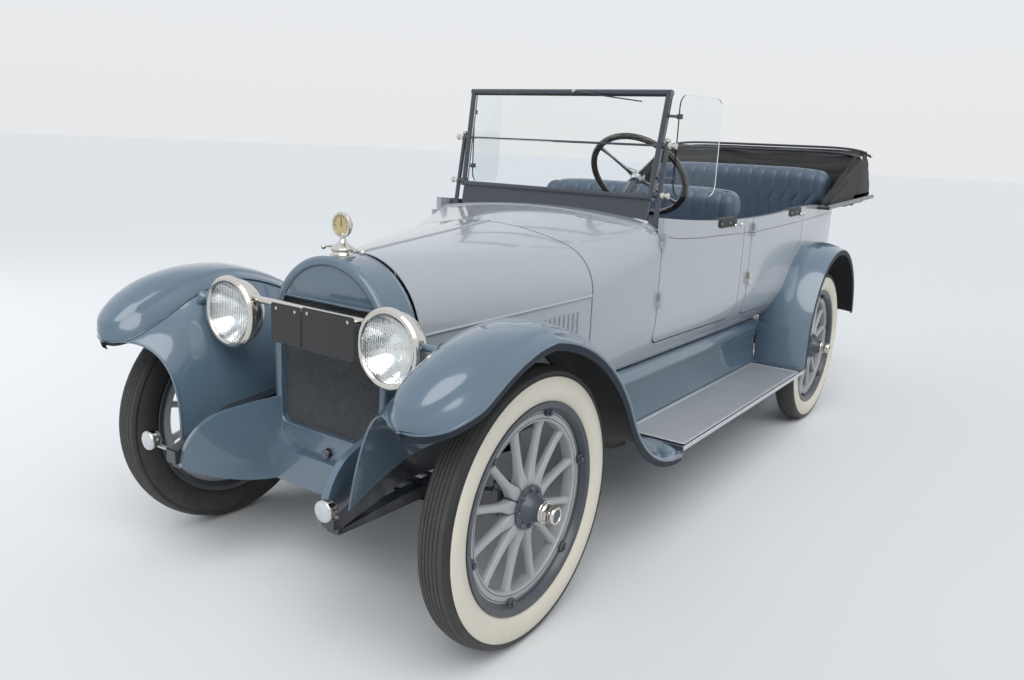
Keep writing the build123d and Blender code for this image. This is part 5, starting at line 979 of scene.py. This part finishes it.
def makeSeat(seat):
    # a round-cornered section carried across the car; every pleat is an arch between two sewn channels
    count = seat["pleats"] * seatForm["perPleat"] + 1
    x = np.linspace(-seat["half"], seat["half"], count)
    phase = (x + seat["half"]) / (2 * seat["half"]) * seat["pleats"]
    within = np.abs(2 * (phase - np.floor(phase)) - 1)
    arch = np.sqrt(np.clip(1 - within ** 2.6, 0, 1))
    shrink = seatForm["endRound"] * roundedEnd(x, seat["half"], seatForm["endRound"])
    (front, rear), (low, high) = seat["s"], seat["z"]
    outline = roundedBox(rear - front, high - low, seat["corner"], 9)
    closed = np.concatenate([outline, outline[:1]])
    length = travelled(closed)
    even = np.linspace(0, length[-1], 73)[:-1]
    outline = np.stack([np.interp(even, length, closed[:, k]) for k in (0, 1)], 1)
    normal = outlineNormals(outline)
    # pleats on the front and the top, plain leather behind and below
    if seat["back"]:
        mask = np.clip(-normal[:, 0] * 1.4, 0, 1)
        mask = np.maximum(mask, np.clip(normal[:, 1] * 1.3, 0, 1) * (outline[:, 0] < (rear - front) * 0.2))
    else:
        mask = np.clip(normal[:, 1] * 1.4, 0, 1)
    crown = 0.5 * (1 + np.cos(np.pi * np.clip(x / seat["half"], -1, 1)))
    depth = seatForm["pleatDepth"]
    push = mask[None] * (-depth + depth * arch[:, None] + seatForm["crown"] * crown[:, None])
    section = outline[None] + normal[None] * (push + (-shrink[:, None] - seatForm["inset"]))[..., None]
    station, z = section[..., 0] + (front + rear) / 2, section[..., 1] + (low + high) / 2
    across = np.broadcast_to(x[:, None], station.shape).copy()
    if seat["back"]:
        across *= 1 + seat["flare"] * np.clip((z - 1246) / 60, 0, 1)
        ear = np.clip((np.abs(across) - 300) / 300, 0, 1) ** 2
        z -= np.clip((z - 1000) / 300, 0, 1) * seatForm["earDrop"] * ear
    parts = []
    addTo(parts, np.stack([across, at(station), z], -1), ringFaces(*station.shape, (-1, 1)))
    piece = weld(joinParts(seat["name"], parts), 60)
    finish = piece.modifiers.new("smooth", "SUBSURF")
    finish.levels = finish.render_levels = 1
    dress(piece, "chassis", [seatLeather], [seat["node"]])
    if seat["back"]:
        # piping where the pleats meet the crest
        half = seat["half"] * (1.09 if seat["flare"] else 1)
        xs = np.linspace(-half + 22, half - 22, 60)
        drop = seatForm["earDrop"] * np.clip((np.abs(xs) - 300) / 300, 0, 1) ** 2
        drop = drop + 24 * np.clip((np.abs(xs) - half + 60) / 40, 0, 1) ** 2
        path = np.column_stack([xs, np.full(60, at(rear - 26)), high - 4 - drop])
        parts = []
        addTo(parts, *sweepAlong(path, circle(seatForm["pipe"]), (0, 1, 0)))
        finishPiece(seat["name"] + "Piping", parts, "chassis", [pipingLeather])


topForm = {
    "armX": 662, "armWide": 24, "arm": (3135, 3760), "folds": 7, "rearHalf": 676, "laps": 15, "lapHeight": 13,
    "wrinkle": 2.6, "sag": 15, "endRound": 56,
    "roll": [(3640, 1250), (3628, 1330), (3650, 1440), (3730, 1515), (3860, 1572), (3980, 1574), (4070, 1540),
             (4120, 1480), (4180, 1400), (4232, 1300), (4190, 1254), (4090, 1238), (3900, 1234), (3740, 1234),
             (3640, 1250)],
    # station, height and half length of each bow
    "bows": [(3768, 1561, 690), (3905, 1594, 694), (4040, 1577, 690)],
    "knob": [(0, 10), (6, 12), (13, 10), (16, 5), (17, 0.01)],
}


def makeTopArms(parts):
    # an oval section that grows along each side, with folds that wind round it
    stations = np.linspace(*topForm["arm"], 34)
    high = np.interp(stations, [3135, 3870], [1262, 1588])
    low = np.interp(stations, [3135, 3300, 3760], [1246, 1238, 1232])
    turn = np.linspace(0, 2 * np.pi, 40, endpoint=False)
    fold = 1 + 0.2 * np.cos(topForm["folds"] * turn[None] + stations[:, None] / 190)
    fold = fold + 0.08 * np.sin(11 * turn[None] - stations[:, None] / 60)
    c, s = np.cos(turn), np.sin(turn)
    wide = topForm["armWide"] * np.sign(c) * np.abs(c) ** 0.6 * fold
    tall = ((high - low) / 2)[:, None] * np.sign(s) * np.abs(s) ** 0.7 * (1 + 0.35 * (fold - 1))
    grow = np.clip((stations - 3120) / 60, 0.3, 1)[:, None]
    y = np.broadcast_to(at(stations)[:, None], wide.shape)
    z = ((high + low) / 2)[:, None] + tall * grow ** 0.5
    for side in (1, -1):
        rings = np.stack([side * (topForm["armX"] + wide * grow), y, z], -1)
        addTo(parts, rings, ringFaces(*wide.shape, (1, -1)))


def makeTopRoll(parts):
    # a closed side outline carried across the car, pushed along its normal by overlapping laps, wrinkles and a sag
    outline = smoothLine(topForm["roll"], 12)[:-1]
    normal = -outlineNormals(outline)
    along = np.arange(len(outline)) / len(outline)
    x = np.linspace(-topForm["rearHalf"], topForm["rearHalf"], 121)[:, None]
    lap = np.abs(((along[None] * topForm["laps"] + 0.25 * np.sin(x / 170)) % 1) - 0.5) * 2
    ridge = topForm["lapHeight"] * (np.sqrt(np.clip(1 - lap ** 2.2, 0, 1)) - 0.7)
    wrinkle = topForm["wrinkle"] * np.sin(x / 31 + 9 * along[None]) * np.sin(6.1 * np.pi * along[None] + x / 83)
    third = np.clip((x + topForm["rearHalf"]) / (2 * topForm["rearHalf"]), 0, 1) * 3
    sag = -topForm["sag"] * (1 - np.cos(2 * np.pi * third)) / 2
    shrink = -46 * roundedEnd(x, topForm["rearHalf"], topForm["endRound"])
    upper = np.clip((outline[:, 1] - 1400) / 150, 0, 1)
    section = outline[None] + normal[None] * (ridge + wrinkle + sag * upper[None] + shrink)[..., None]
    points = np.stack([np.broadcast_to(x, section.shape[:2]), at(section[..., 0]), section[..., 1]], -1)
    addTo(parts, points, ringFaces(*section.shape[:2], (1, -1)))


def makeFoldedTop():
    parts = []
    makeTopArms(parts)
    makeTopRoll(parts)
    piece = finishPiece("foldedTopCloth", parts, "chassis", [topCloth], ["folded_top"], 70)
    # three wooden bows lie along the top of the roll, with their ends on the irons
    bows = []
    for station, z, half in topForm["bows"]:
        xs = np.linspace(-half, half, 40)
        path = np.column_stack([xs, np.full(40, at(station)), z - 30 * (np.abs(xs) / half) ** 8])
        addTo(bows, *sweepAlong(path, roundedBox(30, 15, 5, 4), (0, 1, 0)))
        for side in (1, -1):
            place = (side * (half - 8), at(station), z - 30)
            addTo(bows, *lathe(topForm["knob"], place, (side, 0, 0), 20, False), 1)
    finishPiece("topBows", bows, "chassis", [blackEnamel, nickelPlate])


boards = {"inner": 562, "outer": 811, "front": 980, "rear": 2472, "trimZ": 394.6, "lip": (823, 381, 956, 1700, 2540),
          "strip": [(-0.6, -9), (1.4, -9), (2.6, -7.4), (2.6, 7.4), (1.4, 9), (-0.6, 9)]}


def makeBoards():
    # a mat, a bright strip round it and the rolled front lip of each board
    parts = []
    outer, inner, front, rear = (boards[key] for key in ("outer", "inner", "front", "rear"))
    size = np.array([outer - inner, rear - front])
    for side in (1, -1):
        centre = np.array([side * (outer + inner) / 2, at((front + rear) / 2)])
        rings = []
        for inset, z in ((5, 393.2), (5, 395.4), (6.2, 396.2)):
            ring = roundedBox(*(size - 2 * inset), 6, 4) + centre
            rings.append(np.column_stack([ring, np.full(len(ring), z)]))
        addRings(parts, rings, 0, (1, 1))
        ring = roundedBox(*size, 8) + centre
        path = np.column_stack([ring, np.full(len(ring), boards["trimZ"])])
        addTo(parts, *sweepAlong(path, boards["strip"], (0, 0, 1), closedPath=True), 1)
        lipX, lipZ, *stations = boards["lip"]
        path = [(side * lipX, at(station), lipZ) for station in stations]
        addTo(parts, *sweepAlong(path, roundedBox(19, 6, 2.8, 4), (0, 0, 1)), 1)
    finishPiece("boardMats", parts, "chassis", [boardLino, boardEdge])


trim = {
    # station and height of the side's top edge and of the dark line below it, the painted shadow of the belt crease
    "edge": [(1010, 1274), (1079, 1253), (1236, 1234), (1619, 1220), (2162, 1233), (2592, 1239), (3031, 1255),
             (3480, 1218)],
    "line": [(1002, 1233), (1094, 1182), (1252, 1160), (1464, 1152), (2092, 1148), (3206, 1185), (3540, 1190)],
    # node, body, first and last station; a door is its own body
    "panels": [("cowl", "chassis", 1004, 1098), ("body_tub", "chassis", 1962, 2047),
               ("body_tub", "chassis", 2836, 3540), ("door_front", "", 1108, 1954), ("door_rear", "", 2057, 2826)],
    "pads": {"front": (1640, 1850), "rear": (2560, 2770)},
    "knobs": {"front": (1884, 1812), "rear": (2738, 2794)},
    "knob": [(-2, 4), (6, 4), (8, 8), (12, 9.5), (16, 8), (18, 4), (18.4, 0.01)],
    "stud": [(-2, 4), (1.8, 4), (3.4, 2.48), (4, 0.04)],
}
hinge = {
    "station": 2053, "axisX": 639.2, "low": 890,
    "door": [(31, 9.05), (31, 9.2), (33, 9.8), (57, 9.8), (59.5, 9.2), (59.5, 9.05)],
    "post": [(-3, 0.01), (-3, 5), (-1, 8.6), (1, 9.8), (28, 9.8), (29.4, 9.4), (29.4, 9.05), (0, 9.05), (0, 0.01)],
}


def addHingeSleeve(parts, side, key, closed):
    centre = (side * hinge["axisX"], at(hinge["station"]), hinge["low"])
    addTo(parts, *lathe(hinge[key], centre, (0, 0, 1), 28, closed))


def makeTrim():
    # dark line on every panel as painted shadow of the belt crease, leather pads over the top edge, knobs and studs,
    # and bright hinge sleeves
    edge, belt = np.array(trim["edge"], float), np.array(trim["line"], float)
    for side, word in ((1, "left"), (-1, "right")):
        for number, (node, body, first, last) in enumerate(trim["panels"]):
            node = node if body else node + "_" + word
            stations = np.linspace(first, last, max(5, int((last - first) / 25)))
            line = skinLine(surfaceTree(node), side, stations, np.interp(stations, *belt.T), -0.5)
            if len(line) < 4:
                continue
            parts = []
            addTo(parts, *sweepAlong(line, circle(1.0, 10) * [1.7, 1.2], (0, 0, 1)))
            finishPiece("creaseShadowLine_%s_%d" % (word, number), parts, body or node, [creaseShadowBrown])
        for kind in ("front", "rear"):
            node = "door_%s_%s" % (kind, word)
            tree = surfaceTree(node)
            stations = np.linspace(*trim["pads"][kind], 20)
            path = skinLine(tree, side, stations, np.interp(stations, *edge.T) - 24, -9) + [0, 0, 9]
            taper = 1 - 0.45 * np.abs(np.linspace(-1, 1, len(path))) ** 8
            parts = []
            addTo(parts, *sweepAlong(path, roundedBox(36, 46, 10)[None] * taper[:, None, None], (1, 0, 0)))
            for k in (2, len(path) // 2, len(path) - 3):
                addTo(parts, *lathe(trim["stud"], path[k] + [side * 18, 0, -2], (side, 0, 0), 16, False), 1)
            finishPiece("edgePad_" + node, parts, node, [armLeather, nickelPlate])
            parts = []
            for station in trim["knobs"][kind]:
                point = skinLine(tree, side, [station], [np.interp(station, *edge.T) - 34])[0]
                addTo(parts, *lathe(trim["knob"], point, (side, 0, 0), 20, False))
            if kind == "rear":
                addHingeSleeve(parts, side, "door", True)
            finishPiece("doorFittings_" + node, parts, node, [nickelPlate])
    parts = []
    for side in (1, -1):
        addHingeSleeve(parts, side, "post", False)
    finishPiece("lowHingeSleeves", parts, "chassis", [nickelPlate])


rearFender = {
    "station": 3029, "z": 540, "radius": 507, "middleX": 682.5, "half": 142.5, "drop": 34, "footZ": 394, "endZ": 590,
    "flange": [(825.3, -37.5), (826.5, -38.5), (826.5, -62), (824.5, -64.2), (819, -64.2), (819, -62.4),
               (825.3, -62.4)],
}


def makeRearFenderLining():
    # black lining under the crown and a dark band of painted shade on the outer flange, both carried along the foot
    # and the arch
    station, z, radius = (rearFender[key] for key in ("station", "z", "radius"))
    last = math.pi - math.asin((rearFender["endZ"] - z) / radius)
    turn = np.linspace(0, last - 0.004, 80)
    arch = np.stack([station - radius * np.cos(turn), z + radius * np.sin(turn)], 1)
    rise = np.linspace(rearFender["footZ"], z, 8, endpoint=False)
    line = np.concatenate([np.column_stack([np.full(8, arch[0, 0]), rise]), arch])
    path = np.column_stack([np.zeros(len(line)), at(line[:, 0]), line[:, 1]])
    v = np.linspace(-0.18, 0.965, 26)
    under = np.column_stack([rearFender["middleX"] + rearFender["half"] * v, -rearFender["drop"] * v ** 2 - 5.4])
    lining = np.concatenate([under, under[::-1] - [0, 1.4]])
    parts = []
    for side in (1, -1):
        for slot, profile in enumerate((lining, np.array(rearFender["flange"]))):
            addTo(parts, *sweepAlong(path, profile * [side, 1], (1, 0, 0)), slot)
    finishPiece("rearFenderLining", parts, "chassis", [underBlack, flangePaintedShade])


# rows are (half width, height) of the apron's outer face, three points to an arc, as the solid apron has them
apronEnd = {"rows": [(508, 632), (541, 606), (538, 560), (530, 500), (546, 390.3)], "front": 2518, "rear": 2560,
            "sheet": 3}


def arcThrough(first, middle, last):
    # circle through three points, walked from the first to the last: its centre is as far from each of them
    p, q, r = (complex(*point) for point in (first, middle, last))
    w = (r - p) / (q - p)
    centre = p + (q - p) * (w - abs(w) ** 2) / (w - w.conjugate())
    start, sweep = math.atan2((p - centre).imag, (p - centre).real), ((r - centre) / (p - centre))
    turn = np.linspace(0, math.atan2(sweep.imag, sweep.real), 12) + start
    return np.stack([centre.real + abs(p - centre) * np.cos(turn), centre.imag + abs(p - centre) * np.sin(turn)], 1)


def makeApronEnds():
    # short sheet that carries each apron back to the inner edge of the rear fender
    rows = apronEnd["rows"]
    outer = np.concatenate([arcThrough(*rows[:3]), arcThrough(*rows[2:])[1:]])
    outline = np.concatenate([outer, outer[::-1] - [apronEnd["sheet"], 0]])
    parts = []
    for side in (1, -1):
        start = atStation(outline * [side, 1], apronEnd["front"])
        prism(parts, start, (0, apronEnd["rear"] - apronEnd["front"], 0))
    finishPiece("apronEnds", parts, "chassis", [fenderPaint])


for seat in seats:
    makeSeat(seat)
makeFoldedTop()
makeBoards()
makeTrim()
makeRearFenderLining()
makeApronEnds()


print("stage 8: windshield, wings and steering wheel")

shield = {
    "foot": (0, at(1185), 1309), "lean": (75, 442), "height": 448, "split": 225, "footHalf": 494, "topHalf": 508,
    "stanchionX": 521, "fillerHalf": 484, "fillerTop": 1312.0, "tube": (10.4, 11), "capHeight": 240,
    "hingeHeight": 24, "clip": (40, 2),
    # ends by side, height and distance in front
    "strip": [(-480, 424, 3), (480, 424, 3)], "pivot": [(60, 437, 17), (60, 437, 34)],
    "arm": [(60, 437, 30), (250, 415, 14)], "blade": [(120, 430, 13), (380, 400, 9)],
    "knob": [(0, 8), (4, 13), (12, 13), (15, 9), (24, 9), (27, 13), (37, 13), (40, 9), (41, 0.01)],
    "cap": [(0, 10.4), (4, 12.4), (10, 12), (14, 8), (15, 0.01)],
}
leanLine = np.array([0, *shield["lean"]]) / math.hypot(*shield["lean"])
outLine = np.array([0, -leanLine[2], leanLine[1]])


def onShield(x, height, ahead=0.0):
    # a point by its height along the leaning frame and its distance in front of it
    return np.array(shield["foot"]) + np.array([x, 0, 0]) + height * leanLine + ahead * outLine


def shieldHalf(height):
    return shield["footHalf"] + (shield["topHalf"] - shield["footHalf"]) * height / shield["height"]


def addFiller(parts):
    # dark filler strip under the bottom bar, down to the cowl
    tree = surfaceTree("cowl")
    xs = np.linspace(-shield["fillerHalf"], shield["fillerHalf"], 61)
    low = []
    for x in xs:
        hit = tree.ray_cast(Vector((x * mm, at(1184) * mm, 1.6)), Vector((0, 0, -1)))[0]
        low.append(hit.z / mm if hit is not None else 1250.0)
    low = np.maximum(low, 1235) - 1
    top = np.full(len(xs), shield["fillerTop"])
    rings = [
        np.column_stack([xs, at(1185) + shift + (level - 1309) * 0.17, level])
        for shift, level in ((-4, low), (-4, top), (4, top), (4, low))
    ]
    addRings(parts, np.stack(rings, 1), 0, (1, -1))


def makeShieldTrim():
    parts = []
    # rounded faces on the square tubes: bottom, top and both sides, front and back
    height, split, (radius, inset) = shield["height"], shield["split"], shield["tube"]
    tube = circle(radius, 14) * [1, 0.55]
    for ahead in (inset, -inset):
        for level in (inset, height - inset):
            ends = [onShield(side * shieldHalf(level), level, ahead) for side in (-1, 1)]
            addTo(parts, *sweepAlong(ends, tube, leanLine))
        for side in (-1, 1):
            reach = [(shieldHalf(level) - inset, z) for level, z in ((0, 4), (height, height - 4))]
            ends = [onShield(side * x, z, ahead) for x, z in reach]
            addTo(parts, *sweepAlong(ends, tube, (1, 0, 0)))
    # clips at the line between the panes, and the hinge pins and knobs at the sides
    for side in (1, -1):
        for level in (shield["hingeHeight"], split):
            place = onShield(side * (shield["stanchionX"] + 4), level)
            addTo(parts, *lathe(shield["knob"], place, (side, 0, 0), 20, False), 1)
        for ahead in (5, -5):
            ends = [onShield(side * (shieldHalf(split) - short), split, ahead) for short in shield["clip"]]
            bar(parts, *ends, 5, 10, 1)
        place = onShield(side * shield["stanchionX"], shield["capHeight"])
        addTo(parts, *lathe(shield["cap"], place, leanLine, 20, False), 1)
    # weather strip, and the wiper's pivot, arm and blade at the top bar
    strip, pivot, arm, blade = ([onShield(*end) for end in shield[key]] for key in ("strip", "pivot", "arm", "blade"))
    addTo(parts, *sweepAlong(strip, roundedBox(5, 9, 2, 3), leanLine), 2)
    bar(parts, *pivot, 7, 12, 1)
    bar(parts, *arm, 2.5, 8)
    addTo(parts, *sweepAlong(blade, roundedBox(4, 10, 1.6, 3), leanLine), 2)
    addFiller(parts)
    finishPiece("windshieldTrim", parts, "chassis", [frameEnamel, nickelPlate, underBlack])


steering = {
    "centre": (310, at(1410), 1400), "tilt": 40, "rimRadius": 215, "section": 12.5, "spokes": 4,
    "spokeSpan": (24, 206), "dish": 14,
    "hub": [(-34, 0.01), (-34, 20), (-26, 27), (-12, 31), (-4, 32), (2, 30), (6, 24), (8, 17), (13, 15), (15, 12),
            (15.6, 0.01)],
    # angle round the hub and reach of each small lever
    "levers": [(0.4, 88), (2.6, 74)],
}


def makeSteeringWheel():
    # oval rim, dished spokes that widen at both ends, a turned hub and two small levers over it
    parts = []
    tilt = math.radians(steering["tilt"])
    axis = np.array([0, math.cos(tilt), math.sin(tilt)])
    _, first, second = frameOf(axis)
    centre = np.array(steering["centre"], float)
    turn = np.linspace(0, 2 * np.pi, 20, endpoint=False)
    section = steering["section"] * np.stack([np.cos(turn), 1.15 * np.sin(turn)], 1) + [0, steering["rimRadius"]]
    addTo(parts, *lathe(section, centre, axis, 120))
    addTo(parts, *lathe(steering["hub"], centre, axis, 48, False), 1)
    near, far = steering["spokeSpan"]
    reach = np.linspace(near, far, 14)
    lift = -steering["dish"] * (1 - (reach - near) / (far - near)) ** 1.5
    width = np.interp(reach, [24, 60, 150, 190, 206], [15, 10, 8, 10, 16])
    for k in range(steering["spokes"]):
        angle = math.pi / 4 + k * math.pi / 2
        ahead = math.cos(angle) * first + math.sin(angle) * second
        side = -math.sin(angle) * first + math.cos(angle) * second
        path = centre + reach[:, None] * ahead + lift[:, None] * axis
        addTo(parts, *sweepAlong(path, np.stack([circle(1, 16) * [w, 4.6] for w in width]), side), 1)
    turn = np.linspace(0.05, np.pi - 0.05, 9)
    ball = 7 * np.stack([-np.cos(turn), np.sin(turn)], 1)
    for angle, reach in steering["levers"]:
        ahead = math.cos(angle) * first + math.sin(angle) * second
        corners = [centre + 17 * axis, centre + 24 * axis + 20 * ahead, centre + 22 * axis + reach * ahead]
        path = smoothLine(corners, 6)
        addTo(parts, *sweepAlong(path, circle(3.2, 10), axis), 1)
        addTo(parts, *lathe(ball, path[-1], ahead, 16, False), 2)
    finishPiece("steeringRim", parts, "steering_wheel", [darkWood, aluminium, blackEnamel],
                ["steering_wheel"])


makeShieldTrim()
makeSteeringWheel()


print("stage 9: camera, floor and lights")

view = {"place": (2.009, -3.852, 1.500), "turnLeft": 34.44, "tiltDown": 13.01, "roll": 2.80, "lens": 29.46,
        "sensor": 36.0, "clip": (0.05, 400)}


def addToScene(name, data, place, axes):
    thing = bpy.data.objects.new(name, data)
    thing.matrix_world = Matrix.Translation(place) @ axes.to_4x4()
    bpy.context.scene.collection.objects.link(thing)
    return thing


def makeCamera():
    # camera axes from the heading, the downward tilt and the roll
    turn, tilt, roll = (math.radians(view[key]) for key in ("turnLeft", "tiltDown", "roll"))
    ahead = Vector((-math.sin(turn) * math.cos(tilt), math.cos(turn) * math.cos(tilt), -math.sin(tilt)))
    right = Vector((math.cos(turn), math.sin(turn), 0))
    up = right.cross(ahead)
    rolledRight = math.cos(roll) * right + math.sin(roll) * up
    rolledUp = -math.sin(roll) * right + math.cos(roll) * up
    lens = bpy.data.cameras.new("camera")
    lens.lens, lens.sensor_width = view["lens"], view["sensor"]
    lens.clip_start, lens.clip_end = view["clip"]
    axes = Matrix((rolledRight, rolledUp, -ahead)).transposed()
    bpy.context.scene.camera = addToScene("camera", lens, view["place"], axes)


studio = {
    "floorColour": (0.8, 0.8, 0.795), "floorRough": 0.85, "floorHalf": 120.0,
    # colours at the horizon and above, and strength: the light on the car, then the backdrop that shows
    "light": ((0.62, 0.66, 0.7), (0.62, 0.7, 0.8), 0.62),
    "sky": ((0.8, 0.81, 0.82), (0.86, 0.9, 0.96), 1.0),
    "horizon": (0.02, 0.6),
    "sun": {"power": 1.95, "angle": 56, "place": (3.0, -3.0, 6.5), "aim": (0, 0, 0.6)},
    "fill": {"power": 110, "size": 5.0, "place": (-6.0, -4.0, 4.0), "aim": (0, -0.5, 0.7)},
}


def makeFloor():
    half = studio["floorHalf"] / mm
    corners = [(-half, -half, 0), (half, -half, 0), (half, half, 0), (-half, half, 0)]
    floor = makePiece("floor", corners, [(0, 1, 2, 3)])
    material, _, shader = newMaterial("floorPale")
    shader.inputs["Roughness"].default_value = studio["floorRough"]
    shader.inputs["Base Color"].default_value = (*studio["floorColour"], 1)
    floor.data.materials.append(material)


def makeSky():
    # what the camera, metal and glass see is the pale backdrop; the rest is the plain light level
    world = bpy.data.worlds.new("studioSky")
    bpy.context.scene.world = world
    world.use_nodes = True
    tree = world.node_tree
    split = addNode(tree, "SeparateXYZ", {"Vector": addNode(tree, "TexCoord").outputs["Generated"]})
    colours = []
    for key in ("light", "sky"):
        ramp = addNode(tree, "ValToRGB", {"Fac": split.outputs["Z"]})
        for stop, colour, place in zip(ramp.color_ramp.elements, studio[key], studio["horizon"]):
            stop.position, stop.color = place, (*colour, 1)
        colours.append(ramp.outputs["Color"])
    rays = addNode(tree, "LightPath").outputs
    seen = rays["Is Camera Ray"]
    for kind in ("Is Glossy Ray", "Is Transmission Ray"):
        seen = addNode(tree, "Math", {0: seen, 1: rays[kind]}, operation="MAXIMUM").outputs["Value"]
    level = addNode(tree, "Mix", {"Factor": seen, "A": studio["light"][2], "B": studio["sky"][2]}, data_type="FLOAT")
    back = tree.nodes["Background"]
    tree.links.new(mixColours(tree, seen, *colours), back.inputs["Color"])
    tree.links.new(level.outputs["Result"], back.inputs["Strength"])


def makeLamp(name, kind, form):
    lamp = bpy.data.lights.new(name, kind)
    lamp.energy = form["power"]
    toward = Vector(form["aim"]) - Vector(form["place"])
    axes = toward.to_track_quat("-Z", "Y").to_matrix()
    return lamp, addToScene(name, lamp, form["place"], axes)


makeCamera()
bpy.context.scene.view_settings.view_transform = "Standard"
makeFloor()
makeSky()
sun, _ = makeLamp("sunLight", "SUN", studio["sun"])
sun.angle = math.radians(studio["sun"]["angle"])
fill, fillObject = makeLamp("fillLight", "AREA", studio["fill"])
fill.shape, fill.size = "DISK", studio["fill"]["size"]
fillObject.visible_glossy = False

print("stage 10: finishes on the solids")
solidFinish = {}
for names, material in (
    ("body_tub door_front_left door_front_right door_rear_left door_rear_right cowl hood_side_left hood_side_right "
     "hood_top_left hood_top_right", bodyPaint),
    ("rear_fenders radiator_shell aprons", fenderPaint),
    ("top_irons chassis_frame springs front_axle rear_axle tie_rod knuckle_left knuckle_right fuel_tank spare_wheel",
     blackEnamel),
    ("engine_block exhaust", castGrey),
    ("dashboard", darkWood),
    ("steering_column windshield_frame running_boards", frameEnamel),
    ("lamp_bar", nickelPlate),
    ("windshield_glass wind_wings", clearGlass),
):
    solidFinish.update((node, material) for node in names.split())

for node, solid in nodes.items():
    for slot in solid.material_slots:
        slot.material = solidFinish.get(node, underBlack)
